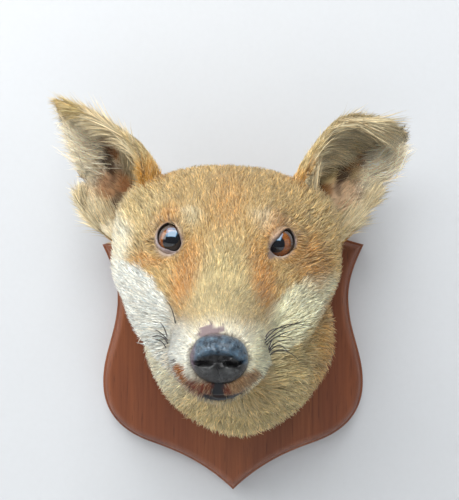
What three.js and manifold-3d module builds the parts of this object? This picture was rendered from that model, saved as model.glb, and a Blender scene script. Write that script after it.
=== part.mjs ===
// Red fox head mounted on a shield-shaped hardwood plaque.
// Millimetres, +Z up. The wall is the plane y = 0, the origin is the middle of the
// plaque's back, and the fox looks along -Y. "Forward" below is a distance from the
// front face of the plaque towards the nose.
import * as THREE from 'three';
import { mergeVertices } from 'three/addons/utils/BufferGeometryUtils.js';
import Module from 'manifold-3d';

const wasm = await Module();
wasm.setup();

// ---------------------------------------------------------------- driving sizes

const gap = 0.3; // left between pieces that touch
const far = 300; // past the whole mount, for cutting blocks

const plaque = {
  thickness: 19,
  edgeDepth: 5.5, // the moulded front edge, from the face back
  edgeWidth: 4.2, // and from the outline in
  curveSteps: 6,
  top: [0, 93.5],
  // The outline's left half from the top down: two handles and the end of each curve.
  curves: [
    [[26, 93.5], [42, 78], [85.4, 66.6]], // scooped shoulder out to the horn
    [[80, 55], [75.4, 45], [75.4, 32]], // in to the waist
    [[75.4, 10], [84.9, -3], [84.9, -23]], // out to the widest line
    [[84.9, -44], [72, -56], [53, -62.5]], // round the bottom corner
    [[36, -68.5], [18, -76], [0, -93.5]], // sweep down to the tip
  ],
};

// The head leans a little on the neck, turns a hair to its right and sits off the middle.
const headPose = { turn: 0.5, lean: 2.0, pivot: [-3.3, 0, 68] };

// Cross-sections of the head from the nose back: forward distance, half width,
// top, bottom, height of the widest line, and how square the two halves are.
const headSections = [
  { forward: 170, half: 5, top: 23, bottom: 8, widest: 16, squareTop: 2.0, squareBottom: 2.0 },
  { forward: 167, half: 12, top: 28, bottom: 4, widest: 18.5, squareTop: 2.1, squareBottom: 1.8 },
  { forward: 162, half: 16.5, top: 32, bottom: 1.2, widest: 20.5, squareTop: 2.2, squareBottom: 1.65 },
  { forward: 152, half: 20.3, top: 37, bottom: -1.5, widest: 21.5, squareTop: 2.1, squareBottom: 1.6 },
  { forward: 138, half: 22.6, top: 42, bottom: -3.5, widest: 21.5, squareTop: 2.05, squareBottom: 1.65 },
  { forward: 124, half: 27.5, top: 49.5, bottom: -6, widest: 22.5, squareTop: 2.1, squareBottom: 1.7 },
  { forward: 112, half: 36, top: 62, bottom: -8, widest: 28, squareTop: 2.1, squareBottom: 1.75 },
  { forward: 100, half: 45, top: 77, bottom: -9, widest: 35.5, squareTop: 2.15, squareBottom: 1.52 },
  { forward: 86, half: 54, top: 90.5, bottom: -10, widest: 43.5, squareTop: 2.25, squareBottom: 1.46 },
  { forward: 70, half: 61, top: 102.5, bottom: -12.5, widest: 50.5, squareTop: 2.35, squareBottom: 1.45 },
  { forward: 54, half: 64.5, top: 110.5, bottom: -14, widest: 54, squareTop: 2.45, squareBottom: 1.52 },
  { forward: 40, half: 63, top: 112.5, bottom: -8, widest: 57, squareTop: 2.4, squareBottom: 1.65 },
  { forward: 27, half: 54, top: 107, bottom: 4, widest: 60, squareTop: 2.2, squareBottom: 2.0 },
  { forward: 18, half: 38, top: 96, bottom: 22, widest: 62, squareTop: 2.0, squareBottom: 2.0 },
];
const headBackEnd = { forward: 13, height: 62 };
const headFrontEnd = { forward: 170.8, height: 15.5 };
const headRings = 34;
const headRingCrowding = 0.55; // how much closer together the rings lie near both ends, 0 to 1
const headPoints = 36;

// The neck and throat fur behind it, which sits a little to the fox's left.
const neckOffset = 2.6;
const neckSections = [
  { forward: gap, half: 45, top: 84, bottom: -30, widest: 18, squareTop: 2.1, squareBottom: 1.85 },
  { forward: 14, half: 51, top: 90, bottom: -34.5, widest: 17, squareTop: 2.1, squareBottom: 1.8 },
  { forward: 30, half: 54, top: 92, bottom: -39, widest: 15, squareTop: 2.1, squareBottom: 1.78 },
  { forward: 46, half: 54.5, top: 84, bottom: -41.5, widest: 14, squareTop: 2.0, squareBottom: 1.76 },
  { forward: 60, half: 52.5, top: 66, bottom: -39.5, widest: 12, squareTop: 2.0, squareBottom: 1.76 },
  { forward: 74, half: 47, top: 46, bottom: -34.5, widest: 9, squareTop: 2.0, squareBottom: 1.78 },
  { forward: 90, half: 38, top: 32, bottom: -27, widest: 6, squareTop: 2.0, squareBottom: 1.8 },
  { forward: 106, half: 29, top: 22, bottom: -19, widest: 3, squareTop: 2.0, squareBottom: 1.82 },
  { forward: 122, half: 19, top: 14, bottom: -12, widest: 2, squareTop: 2.0, squareBottom: 1.9 },
];
const neckFrontEnd = { forward: 134, height: 1 };
const neckRings = 14;
const neckRingCrowding = 0.2;
const neckPoints = 34;

// Swellings and hollows of the head, on both sides: where, how far they reach, and
// how far they move the surface across, forward and up.
const headForms = [
  { name: 'whisker pad', at: [16, 154, 15], reach: [10, 12, 10], move: [2.2, 1.2, 0] },
  { name: 'fold behind the whisker pad', at: [30, 124, 17], reach: [9, 7, 13], move: [-4.5, -2, 0] },
  { name: 'cheek', at: [46, 102, 22], reach: [14, 16, 18], move: [3.5, 4, 0] },
  { name: 'eye hollow', at: [31, 103, 66], reach: [11, 10, 11], move: [-1, -3.5, 0] },
  { name: 'inner eye corner', at: [20, 112, 57], reach: [7, 8, 8], move: [-1, -2.2, 0] },
  { name: 'brow', at: [26, 94, 84], reach: [12, 12, 9], move: [0.5, 2.5, 1.5] },
  { name: 'forehead furrow', at: [0, 92, 85], reach: [7, 18, 20], move: [0, -1.2, -1.2] },
  { name: 'muzzle side', at: [19, 132, 33], reach: [8, 14, 9], move: [-1.6, 0, 0] },
];

const nosePad = {
  width: 22.4,
  height: 18,
  depth: 15,
  centre: [0, 166.8, 21],
  tilt: 14,
  squareness: 0.82, // 1 is an ellipsoid, less is squarer
  lipTaper: 0.16, // share of the width lost towards the lip
  groove: { inFront: 0.14, above: 0.07, width: 0.16 }, // down the middle, as shares of the pad
  nostril: { across: 6.2, up: -2.6, forward: 6.9, radius: 2.5, depth: 5, wide: 1.25, high: 0.8, turn: 20 },
};

const eye = {
  radius: 8.5, across: 26.2, forward: 92.5, height: 67.2, lidRadius: 9.9, lookOut: 18, lookUp: 3,
};
// Opening between the lids: long and short diameter, and slant from the inner corner up.
const lidOpening = {
  right: { long: 16.7, short: 13.8, slant: 58 },
  left: { long: 16.7, short: 11.6, slant: 40 },
};

const mouth = { frontForward: 168, frontHeight: 5.8, rise: 0.24 };
const muzzleBack = 119; // forward distance where the muzzle meets the head
const jawBack = 108; // and where the lower jaw does

// Each ear is a cupped sheet. halfWidth is half the span of its cross-section and fold is
// half the angle that the section wraps round, both by share of the length from the base.
// outerReach is how far the outer edge reaches, which shapes the torn edge.
const untorn = 0.4; // share of the way to the outer edge that no tear reaches
const earThickness = 4.6;
const earTipThinning = 0.35; // share of the thickness lost at the tip
const earEdgeThinning = 0.55; // and along both edges
const earStandForward = 0.2; // share of the half width that the sheet stands forward
const earSteps = 15;
const earAcross = 10;
const rowClearance = 0.25; // share of a step kept clear on both sides of a torn row
const ears = {
  right: {
    base: [-45, 35, 72], tip: [-105, 36, 147], faceOut: 26, bend: [-1, 0, 3.5],
    halfWidth: [
      [0, 17], [0.17, 22], [0.27, 25], [0.42, 25.5], [0.58, 20.5], [0.75, 13.5], [0.88, 8], [1, 1.6],
    ],
    fold: [[0, 125], [0.17, 116], [0.29, 102], [0.46, 84], [0.67, 66], [0.83, 58], [1, 50]],
    outerReach: [
      [0, 1], [0.3, 0.92], [0.43, 0.84], [0.445, 1.02], [0.468, 1.05], [0.476, 0.6], [0.488, 0.62], [0.515, 0.84],
      [0.8, 0.9], [1, 1],
    ],
    tornRows: [0.43, 0.445, 0.468, 0.476, 0.488, 0.515],
  },
  left: {
    base: [43, 35, 73], tip: [103, 36, 136], faceOut: -24, bend: [-1, 0, 9],
    halfWidth: [
      [0, 17], [0.17, 22], [0.27, 24.5], [0.42, 26], [0.58, 26.5], [0.75, 24.5], [0.88, 18.5], [0.95, 11], [1, 4],
    ],
    fold: [[0, 122], [0.17, 114], [0.29, 98], [0.46, 80], [0.67, 62], [0.83, 54], [1, 46]],
    outerReach: [[0, 1], [0.3, 0.88], [0.44, 0.84], [0.48, 0.74], [0.52, 0.84], [0.8, 0.9], [1, 1]],
    tornRows: [0.44, 0.48, 0.52],
  },
};

// ---------------------------------------------------------------- materials

const looks = {
  wood: new THREE.MeshStandardMaterial({ color: 0x7a4630, roughness: 0.5, metalness: 0 }),
  orangeFur: new THREE.MeshStandardMaterial({ color: 0xc08a52, roughness: 0.95, metalness: 0 }),
  muzzleFur: new THREE.MeshStandardMaterial({ color: 0xd0b184, roughness: 0.95, metalness: 0 }),
  paleFur: new THREE.MeshStandardMaterial({ color: 0xb9ae8c, roughness: 0.95, metalness: 0 }),
  earFur: new THREE.MeshStandardMaterial({ color: 0xa98a58, roughness: 0.95, metalness: 0 }),
  noseLeather: new THREE.MeshStandardMaterial({ color: 0x23272c, roughness: 0.35, metalness: 0 }),
  eyeGlass: new THREE.MeshStandardMaterial({ color: 0x30160a, roughness: 0.05, metalness: 0 }),
};

// ---------------------------------------------------------------- small helpers

const sides = [['right', -1], ['left', 1]]; // the fox's own, and their sign across

const radians = THREE.MathUtils.degToRad;

// A place on the head: across, forward of the plaque face, and height.
function place(across, forward, height) {
  return new THREE.Vector3(across, -plaque.thickness - forward, height);
}

// Smooth value through rows of [position, value], in either direction.
function smoothAt(rows, position) {
  const rising = rows[0][0] < rows[rows.length - 1][0] ? rows : [...rows].reverse();
  const last = rising.length - 1;
  if (position <= rising[0][0]) return rising[0][1];
  if (position >= rising[last][0]) return rising[last][1];
  const i = rising.findIndex((row, k) => k < last && position < rising[k + 1][0]);
  const slope = (a, b) => (rising[b][1] - rising[a][1]) / (rising[b][0] - rising[a][0]);
  const span = rising[i + 1][0] - rising[i][0];
  const startSlope = slope(Math.max(i - 1, 0), i + 1) * span;
  const endSlope = slope(i, Math.min(i + 2, last)) * span;
  const t = (position - rising[i][0]) / span;
  return rising[i][1] * (2 * t ** 3 - 3 * t ** 2 + 1) + startSlope * (t ** 3 - 2 * t ** 2 + t)
    + rising[i + 1][1] * (3 * t ** 2 - 2 * t ** 3) + endSlope * (t ** 3 - t ** 2);
}

// Straight-line value through rising rows of [position, value].
function straightAt(rows, position) {
  const i = Math.max(rows.findIndex((row) => row[0] >= position), 1);
  const [[fromPosition, from], [toPosition, to]] = [rows[i - 1], rows[i]];
  return THREE.MathUtils.mapLinear(position, fromPosition, toPosition, from, to);
}

// Closed surface through rings of equal length, with a point at each end.
function loft(rings, firstPoint, lastPoint) {
  const count = rings[0].length;
  const points = [firstPoint, ...rings.flat(), lastPoint];
  const lastIndex = points.length - 1;
  const faces = [];
  for (let k = 0; k < count; k++) {
    const next = (k + 1) % count;
    faces.push(0, 1 + k, 1 + next);
    for (let r = 0; r + 1 < rings.length; r++) {
      const here = 1 + r * count;
      const after = here + count;
      faces.push(here + k, after + k, after + next, here + k, after + next, here + next);
    }
    const end = 1 + (rings.length - 1) * count;
    faces.push(lastIndex, end + next, end + k);
  }
  return fromPoints(points, faces);
}

function fromPoints(points, faces) {
  const geometry = new THREE.BufferGeometry().setFromPoints(points);
  geometry.setIndex(faces);
  return geometry;
}

// Manifold of a closed surface, turned so that its faces point out.
function toSolid(geometry) {
  const bare = geometry.clone();
  bare.deleteAttribute('normal');
  bare.deleteAttribute('uv');
  const merged = mergeVertices(bare, 1e-4);
  const corners = Array.from(merged.index.array);
  const triVerts = Uint32Array.from(signedVolume(merged) < 0 ? corners.reverse() : corners);
  const vertProperties = Float32Array.from(merged.attributes.position.array);
  return new wasm.Manifold(new wasm.Mesh({ numProp: 3, vertProperties, triVerts }));
}

function signedVolume(geometry) {
  const { position } = geometry.attributes;
  const corner = [0, 1, 2].map(() => new THREE.Vector3());
  let volume = 0;
  for (let i = 0; i < geometry.index.count; i += 3) {
    corner.forEach((p, k) => p.fromBufferAttribute(position, geometry.index.getX(i + k)));
    volume += corner[0].dot(corner[1].cross(corner[2]));
  }
  return volume;
}

function toGeometry(solid) {
  const mesh = solid.getMesh();
  const geometry = new THREE.BufferGeometry();
  geometry.setAttribute('position', new THREE.BufferAttribute(mesh.vertProperties, 3));
  geometry.setIndex(new THREE.BufferAttribute(mesh.triVerts, 1));
  return geometry;
}

// Block between two corners given as across, forward and height.
function block(low, high) {
  const size = high.map((value, axis) => value - low[axis]);
  const middle = place(...high.map((value, axis) => (value + low[axis]) / 2));
  return new THREE.BoxGeometry(...size).translate(middle.x, middle.y, middle.z);
}

// ---------------------------------------------------------------- plaque

function plaqueOutline() {
  const outline = new THREE.Shape();
  outline.moveTo(...plaque.top);
  for (const [handle, nextHandle, end] of plaque.curves) {
    outline.bezierCurveTo(...handle, ...nextHandle, ...end);
  }
  const ends = [plaque.top, ...plaque.curves.map((curve) => curve[2])];
  for (let i = plaque.curves.length - 1; i >= 0; i--) {
    const [[handleX, handleZ], [nextX, nextZ]] = plaque.curves[i];
    const [endX, endZ] = ends[i];
    outline.bezierCurveTo(-nextX, nextZ, -handleX, handleZ, -endX, endZ);
  }
  return outline;
}

function plaqueBoard() {
  const blank = new THREE.ExtrudeGeometry(plaqueOutline(), {
    depth: plaque.thickness,
    curveSegments: plaque.curveSteps,
    bevelEnabled: true,
    bevelThickness: plaque.edgeDepth,
    bevelSize: plaque.edgeWidth,
    bevelOffset: -plaque.edgeWidth,
    bevelSegments: 2,
  });
  // Extruded along +Z: stood up so that one moulded edge faces -Y, and sawn flat behind.
  blank.rotateX(Math.PI / 2);
  blank.translate(0, plaque.edgeDepth, 0);
  const depthBehind = 100;
  const behind = new THREE.BoxGeometry(far, depthBehind, far).translate(0, depthBehind / 2, 0);
  return toSolid(blank).subtract(toSolid(behind));
}

// ---------------------------------------------------------------- head and neck

function sectionRing(sections, forward, points, offset) {
  const size = (name) => smoothAt(sections.map((s) => [s.forward, s[name]]), forward);
  const half = size('half');
  const widest = size('widest');
  const ring = [];
  for (let k = 0; k < points; k++) {
    const angle = (2 * Math.PI * k) / points;
    const upper = Math.sin(angle) >= 0;
    const power = 2 / size(upper ? 'squareTop' : 'squareBottom');
    const reach = upper ? size('top') - widest : widest - size('bottom');
    const across = half * Math.sign(Math.cos(angle)) * Math.abs(Math.cos(angle)) ** power;
    const up = reach * Math.sign(Math.sin(angle)) * Math.abs(Math.sin(angle)) ** power;
    ring.push([across + offset, forward, widest + up]);
  }
  return ring;
}

// Forward distances of the rings, closer together near both ends.
function ringForwards(from, to, count, crowding) {
  return Array.from({ length: count }, (_, i) => {
    const t = i / (count - 1);
    const eased = t - (crowding * Math.sin(2 * Math.PI * t)) / (2 * Math.PI);
    return THREE.MathUtils.lerp(from, to, eased);
  });
}

function withHeadForms([across, forward, height]) {
  const moved = [across, forward, height];
  for (const form of headForms) {
    for (const side of form.at[0] === 0 ? [1] : [-1, 1]) {
      const away = Math.hypot(
        (across - side * form.at[0]) / form.reach[0],
        (forward - form.at[1]) / form.reach[1],
        (height - form.at[2]) / form.reach[2],
      );
      const share = Math.exp(-away * away);
      moved[0] += side * form.move[0] * share;
      moved[1] += form.move[1] * share;
      moved[2] += form.move[2] * share;
    }
  }
  return moved;
}

const poseMatrix = (() => {
  const pivot = place(...headPose.pivot);
  const turn = new THREE.Matrix4().makeRotationZ(-radians(headPose.turn));
  const lean = new THREE.Matrix4().makeRotationY(radians(headPose.lean));
  return new THREE.Matrix4().makeTranslation(...pivot).multiply(turn).multiply(lean)
    .multiply(new THREE.Matrix4().makeTranslation(...pivot.clone().negate()));
})();

// The head's origin across is the pivot's, so its middle lies there before it is turned.
const posed = (geometry) => geometry.translate(headPose.pivot[0], 0, 0).applyMatrix4(poseMatrix);

function grown(geometry, amount) {
  if (amount === 0) return geometry;
  const merged = mergeVertices(geometry);
  merged.computeVertexNormals();
  const { position, normal } = merged.attributes;
  for (let i = 0; i < position.count; i++) {
    position.setXYZ(
      i,
      position.getX(i) + amount * normal.getX(i),
      position.getY(i) + amount * normal.getY(i),
      position.getZ(i) + amount * normal.getZ(i),
    );
  }
  return merged;
}

function wholeHead(extra = 0) {
  const front = headSections[0].forward;
  const back = headSections[headSections.length - 1].forward;
  const rings = ringForwards(front, back, headRings, headRingCrowding).map((forward) => (
    sectionRing(headSections, forward, headPoints, 0).map((p) => place(...withHeadForms(p)))
  ));
  const first = place(0, headFrontEnd.forward, headFrontEnd.height);
  const last = place(0, headBackEnd.forward, headBackEnd.height);
  return grown(posed(loft(rings, first, last)), extra);
}

function wholeNeck(extra = 0) {
  const last = neckSections[neckSections.length - 1].forward;
  const rings = ringForwards(last, neckSections[0].forward, neckRings, neckRingCrowding).map((forward) => (
    sectionRing(neckSections, forward, neckPoints, neckOffset).map((p) => place(...p))
  ));
  const first = place(neckOffset, neckFrontEnd.forward, neckFrontEnd.height);
  const back = place(neckOffset, neckSections[0].forward, neckSections[0].widest);
  return grown(loft(rings, first, back), extra);
}

// ---------------------------------------------------------------- eyes and lids

function lookDirection(side) {
  const out = radians(eye.lookOut);
  const up = radians(eye.lookUp);
  return new THREE.Vector3(side * Math.sin(out), -Math.cos(out) * Math.cos(up), Math.sin(up)).normalize();
}

function eyeCentre(side) {
  return place(side * eye.across, eye.forward, eye.height);
}

function ball(side, radius) {
  const centre = eyeCentre(side);
  const columns = 16;
  const rows = 11;
  return posed(new THREE.SphereGeometry(radius, columns, rows).translate(centre.x, centre.y, centre.z));
}

// A long oval plug along the line of sight, which opens the lids.
function lidPlug(side, opening) {
  const length = 20;
  const outline = new THREE.Shape().absellipse(0, 0, opening.long / 2, opening.short / 2, 0, 2 * Math.PI);
  const plug = new THREE.ExtrudeGeometry(outline, { depth: length, bevelEnabled: false, curveSegments: 10 });
  const look = lookDirection(side);
  const level = new THREE.Vector3(0, 0, 1).cross(look).normalize();
  const upright = look.clone().cross(level);
  plug.rotateZ(radians(side * opening.slant));
  plug.applyMatrix4(new THREE.Matrix4().makeBasis(level, upright, look));
  const centre = eyeCentre(side);
  return posed(plug.translate(centre.x, centre.y, centre.z));
}

// ---------------------------------------------------------------- nose

function nosePoint(azimuth, polar, extra) {
  const soft = (value) => Math.sign(value) * Math.abs(value) ** nosePad.squareness;
  const across = soft(Math.cos(azimuth)) * soft(Math.sin(polar));
  const up = soft(Math.sin(azimuth)) * soft(Math.sin(polar));
  const forward = Math.cos(polar);
  const taper = 1 - nosePad.lipTaper * Math.max(-up, 0);
  const { inFront, above, width } = nosePad.groove;
  const groove = Math.exp(-((across / width) ** 2)) * Math.max(forward, 0);
  return new THREE.Vector3(
    (nosePad.width / 2 + extra) * across * taper,
    -(nosePad.depth / 2 + extra) * (forward - groove * inFront),
    (nosePad.height / 2 + extra) * up * (1 - groove * above),
  );
}

function noseGeometry(extra) {
  const columns = 20;
  const rows = 10;
  const rings = [];
  for (let r = 1; r < rows; r++) {
    const polar = (Math.PI * r) / rows;
    const ring = [];
    for (let k = 0; k < columns; k++) ring.push(nosePoint((2 * Math.PI * k) / columns, polar, extra));
    rings.push(ring);
  }
  const front = nosePoint(0, 0, extra);
  const back = nosePoint(0, Math.PI, extra);
  const centre = place(...nosePad.centre);
  const pad = loft(rings, front, back).rotateX(radians(nosePad.tilt));
  return posed(pad.translate(centre.x, centre.y, centre.z));
}

function nostril(side) {
  const { across, up, forward, radius, depth, wide, high, turn } = nosePad.nostril;
  const centre = place(...nosePad.centre);
  const columns = 10;
  const rows = 6;
  return posed(new THREE.SphereGeometry(radius, columns, rows)
    .scale(wide, depth / radius, high)
    .rotateY(side * radians(turn))
    .translate(side * across, -forward, up)
    .rotateX(radians(nosePad.tilt))
    .translate(centre.x, centre.y, centre.z));
}

// ---------------------------------------------------------------- ears

function earFrame(ear, side) {
  const base = place(...ear.base);
  const tip = place(...ear.tip);
  const along = tip.clone().sub(base);
  const length = along.length();
  along.normalize();
  const out = radians(ear.faceOut);
  const facing = new THREE.Vector3(-Math.sin(out), -Math.cos(out), 0);
  facing.addScaledVector(along, -facing.dot(along)).normalize();
  const outward = new THREE.Vector3().crossVectors(along, facing).multiplyScalar(side).normalize();
  if (outward.x * side < 0) outward.negate();
  return { base, along, length, facing, outward };
}

// Point on the middle of the ear sheet. s runs from base to tip, q from the inner edge
// (-1) over the back (0) to the outer edge (1).
function earPoint(ear, frame, s, q, shift) {
  const half = smoothAt(ear.halfWidth, s);
  const fold = radians(smoothAt(ear.fold, s));
  const outerEdge = straightAt(ear.outerReach, s);
  const reach = q > untorn ? THREE.MathUtils.mapLinear(q, untorn, 1, untorn, outerEdge) : q;
  const radius = half / Math.sin(Math.min(fold, Math.PI / 2)) + shift;
  const arch = Math.sin(Math.PI * s);
  return frame.base.clone()
    .addScaledVector(frame.along, s * frame.length)
    .addScaledVector(frame.outward, radius * Math.sin(reach * fold))
    .addScaledVector(frame.facing, half * earStandForward - radius * Math.cos(reach * fold))
    .add(new THREE.Vector3(...ear.bend).multiplyScalar(arch));
}

function earGeometry(ear, side) {
  const frame = earFrame(ear, side);
  const evenRows = Array.from({ length: earSteps + 1 }, (_, i) => i / earSteps);
  const clearOfTear = (s) => ear.tornRows.every((torn) => Math.abs(torn - s) > rowClearance / earSteps);
  const rowPlaces = [...evenRows.filter(clearOfTear), ...ear.tornRows].sort((a, b) => a - b);
  const rows = rowPlaces.map((s) => {
    const thickness = earThickness * (1 - earTipThinning * s);
    const outer = [];
    const inner = [];
    for (let j = 0; j <= earAcross; j++) {
      const q = -1 + (2 * j) / earAcross;
      const shift = (thickness / 2) * (1 - earEdgeThinning * q ** 4);
      outer.push(earPoint(ear, frame, s, q, shift));
      inner.push(earPoint(ear, frame, s, q, -shift));
    }
    return [...outer, ...inner.reverse()];
  });
  const midSheet = (s) => earPoint(ear, frame, s, 0, 0);
  const roundTip = 1;
  return posed(loft(rows, midSheet(0), midSheet(1).addScaledVector(frame.along, roundTip)));
}

// ---------------------------------------------------------------- put together

const group = new THREE.Group();

function addPiece(name, solid, material) {
  const mesh = new THREE.Mesh(toGeometry(solid), material);
  mesh.name = name;
  group.add(mesh);
}

addPiece('plaque', plaqueBoard(), looks.wood);

// Head with lids, opened for the eyes.
let head = toSolid(wholeHead());
for (const [name, side] of sides) {
  head = head.add(toSolid(ball(side, eye.lidRadius)));
  head = head.subtract(toSolid(lidPlug(side, lidOpening[name])));
  head = head.subtract(toSolid(ball(side, eye.radius + gap)));
}
const headGrown = toSolid(wholeHead(gap));

addPiece('neck', toSolid(wholeNeck()).subtract(headGrown), looks.paleFur);

// Nose pad with nostrils, let into the end of the muzzle.
let nose = toSolid(noseGeometry(0));
for (const [, side] of sides) nose = nose.subtract(toSolid(nostril(side)));
head = head.subtract(toSolid(noseGeometry(gap)));

const frontHalf = toSolid(posed(block([-far, muzzleBack + gap, -far], [far, far, far])));
const backHalf = toSolid(posed(block([-far, -far, -far], [far, muzzleBack, far])));
const mouthTilt = Math.atan(mouth.rise);
function mouthBlock(lowest, highest) {
  const slab = new THREE.BoxGeometry(far, far, highest - lowest).translate(0, 0, (lowest + highest) / 2);
  const hinge = place(0, mouth.frontForward, mouth.frontHeight);
  return toSolid(posed(slab.rotateX(mouthTilt).translate(hinge.x, hinge.y, hinge.z)));
}
const aboveMouth = mouthBlock(gap / 2, far);
const belowMouth = mouthBlock(-far, -gap / 2);
const jawFront = toSolid(posed(block([-far, jawBack + gap, -far], [far, far, far])));
const jawRoom = toSolid(posed(block([-far, jawBack, -far], [far, far, far])));

addPiece('muzzle', head.intersect(frontHalf).intersect(aboveMouth), looks.muzzleFur);
addPiece('lower_jaw', head.intersect(jawFront).intersect(belowMouth), looks.paleFur);
const jawCut = mouthBlock(-far, gap / 2).intersect(jawRoom);
addPiece('head', head.intersect(backHalf).subtract(jawCut), looks.orangeFur);
addPiece('nose', nose, looks.noseLeather);
for (const [name, side] of sides) addPiece(`eye_${name}`, toSolid(ball(side, eye.radius)), looks.eyeGlass);
const neckGrown = toSolid(wholeNeck(gap));
for (const [name, side] of sides) {
  const ear = toSolid(earGeometry(ears[name], side));
  addPiece(`ear_${name}`, ear.subtract(headGrown).subtract(neckGrown), looks.earFur);
}

export default group;
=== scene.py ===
import math

import bmesh
import bpy
import numpy as np
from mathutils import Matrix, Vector
from mathutils.bvhtree import BVHTree


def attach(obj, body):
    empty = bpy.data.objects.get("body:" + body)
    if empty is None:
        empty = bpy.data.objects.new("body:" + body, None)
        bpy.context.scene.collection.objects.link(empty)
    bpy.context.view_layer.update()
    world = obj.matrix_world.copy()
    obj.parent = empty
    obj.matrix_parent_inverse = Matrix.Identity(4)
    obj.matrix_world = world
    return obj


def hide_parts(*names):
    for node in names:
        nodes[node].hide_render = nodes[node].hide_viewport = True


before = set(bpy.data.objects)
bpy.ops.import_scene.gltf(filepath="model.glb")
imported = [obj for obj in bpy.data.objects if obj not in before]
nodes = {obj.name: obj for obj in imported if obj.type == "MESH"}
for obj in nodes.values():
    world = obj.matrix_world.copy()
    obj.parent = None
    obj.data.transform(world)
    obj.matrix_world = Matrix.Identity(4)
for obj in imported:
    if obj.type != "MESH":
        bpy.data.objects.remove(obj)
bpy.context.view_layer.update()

mm = 0.001
seed = np.random.default_rng(7)


def linear(red, green, blue):
    # screen colour 0 to 255 turned into scene-linear
    values = np.array([red, green, blue]) / 255
    return np.where(values <= 0.04045, values / 12.92, ((values + 0.055) / 1.055) ** 2.4)


def softStep(values, start, end):
    t = np.clip((values - start) / (end - start), 0, 1)
    return t * t * (3 - 2 * t)


def unit(vectors):
    return vectors / np.maximum(np.linalg.norm(vectors, axis=-1, keepdims=True), 1e-9)


# Head places are across, forward of the plaque's face and height, in mm. The head leans
# on the neck, so they are turned about the pivot to and from world places in metres.
headPose = {"turn": 0.5, "lean": 2.0, "pivot": (-3.3, -19.0, 68.0)}
turn, lean = math.radians(-headPose["turn"]), math.radians(headPose["lean"])
poseTurn = np.array([[math.cos(turn), -math.sin(turn), 0], [math.sin(turn), math.cos(turn), 0], [0, 0, 1]])
poseLean = np.array([[math.cos(lean), 0, math.sin(lean)], [0, 1, 0], [-math.sin(lean), 0, math.cos(lean)]])
poseAxes = poseTurn @ poseLean
pivot = np.array(headPose["pivot"])
mirrorForward = np.array([1, -1, 1])


def toHead(points):
    return ((points / mm - pivot) @ poseAxes) * mirrorForward + (0, 0, pivot[2])


def toWorld(places):
    return ((np.asarray(places, float) - (0, 0, pivot[2])) * mirrorForward @ poseAxes.T + pivot) * mm


def turnToHead(vectors):
    return (vectors @ poseAxes) * mirrorForward


def waveField(places, scale, phase):
    # smooth wandering values from -1 to 1, a sum of a few slanted waves
    waves = np.random.default_rng(phase)
    total = np.zeros(len(places))
    for _ in range(6):
        direction = unit(waves.normal(size=3))
        total += np.sin(places @ direction * scale * waves.uniform(0.6, 1.6) + waves.uniform(0, 6.28))
    return total / 3.5


def patch(at, reach, **more):
    # row for a rounded patch of the head: its middle and how far it reaches, in mm
    return {"at": at, "reach": reach, **more}


def blend(first, second, share):
    return first * (1 - share) + second * share


def paintOver(colours, layers):
    # each layer is a mask from 0 to 1 and the colour it brings
    for mask, colour in layers:
        colours = blend(colours, colour, mask[:, None])
    return colours


def patchMask(places, row):
    # 1 inside an ellipsoid, fading to 0 outside it; rows with both sides are mirrored, and
    # some stop at a line seen from the front
    mask = np.zeros(len(places))
    soft = row.get("soft", 0.45)
    for side in (-1, 1) if row.get("both") else (1,):
        centre = np.array(row["at"]) * (side, 1, 1)
        away = np.linalg.norm((places - centre) / row["reach"], axis=1)
        if "frayed" in row:
            away = away + row["frayed"] * waveField(places, 1.5, 4)
        mask = np.maximum(mask, softStep(away, 1 + soft, 1 - soft))
    if "below" in row:
        over = places[:, 2] - np.interp(places[:, 0], *np.array(row["below"], float).T)
        mask = mask * softStep(over + row.get("ragged", 0) * waveField(places, 1.1, 3), 1.5, -1.5)
    return mask * row.get("strength", 1)


# small mesh tools


def addPiece(name, data):
    piece = bpy.data.objects.new(name, data)
    bpy.context.scene.collection.objects.link(piece)
    return piece


def meshFromArrays(name, points, corners, sizes, smooth=True):
    # points in metres, corners as one long list, sizes as corners per face
    mesh = bpy.data.meshes.new(name)
    mesh.vertices.add(len(points))
    mesh.vertices.foreach_set("co", np.asarray(points, np.float32).ravel())
    mesh.loops.add(len(corners))
    mesh.loops.foreach_set("vertex_index", np.asarray(corners, np.int32))
    mesh.polygons.add(len(sizes))
    starts = np.concatenate([[0], np.cumsum(sizes)[:-1]]).astype(np.int32)
    mesh.polygons.foreach_set("loop_start", starts)
    mesh.polygons.foreach_set("use_smooth", np.full(len(sizes), smooth))
    mesh.update(calc_edges=True)
    mesh.validate()
    return addPiece(name, mesh)


def bakeDown(piece):
    # mesh that the piece's modifiers give, in place of the piece
    shown = piece.evaluated_get(bpy.context.evaluated_depsgraph_get())
    mesh = bpy.data.meshes.new_from_object(shown)
    bpy.data.objects.remove(piece)
    return mesh


def pointsOf(mesh):
    points = np.empty(len(mesh.vertices) * 3, np.float32)
    mesh.vertices.foreach_get("co", points)
    return points.reshape(-1, 3).astype(float)


def setColours(mesh, name, colours):
    layer = mesh.attributes.new(name, "FLOAT_COLOR", "POINT")
    layer.data.foreach_set("color", np.asarray(colours, np.float32).ravel())


def dress(piece, material, replaced=()):
    piece.data.materials.clear()
    piece.data.materials.append(material)
    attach(piece, "root")
    if replaced:
        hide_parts(*replaced)
    return piece


# shader groups that several materials use


def addGroup(name, inputs, outputs):
    group = bpy.data.node_groups.new(name, "ShaderNodeTree")
    for socketName, kind, value in inputs:
        socket = group.interface.new_socket(name=socketName, in_out="INPUT", socket_type=kind)
        if value is not None:
            socket.default_value = value
    for socketName, kind in outputs:
        group.interface.new_socket(name=socketName, in_out="OUTPUT", socket_type=kind)
    return group, group.nodes.new("NodeGroupInput"), group.nodes.new("NodeGroupOutput")


def addNode(tree, kind, **values):
    node = tree.nodes.new(kind)
    for key, value in values.items():
        setattr(node, key, value)
    return node


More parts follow.
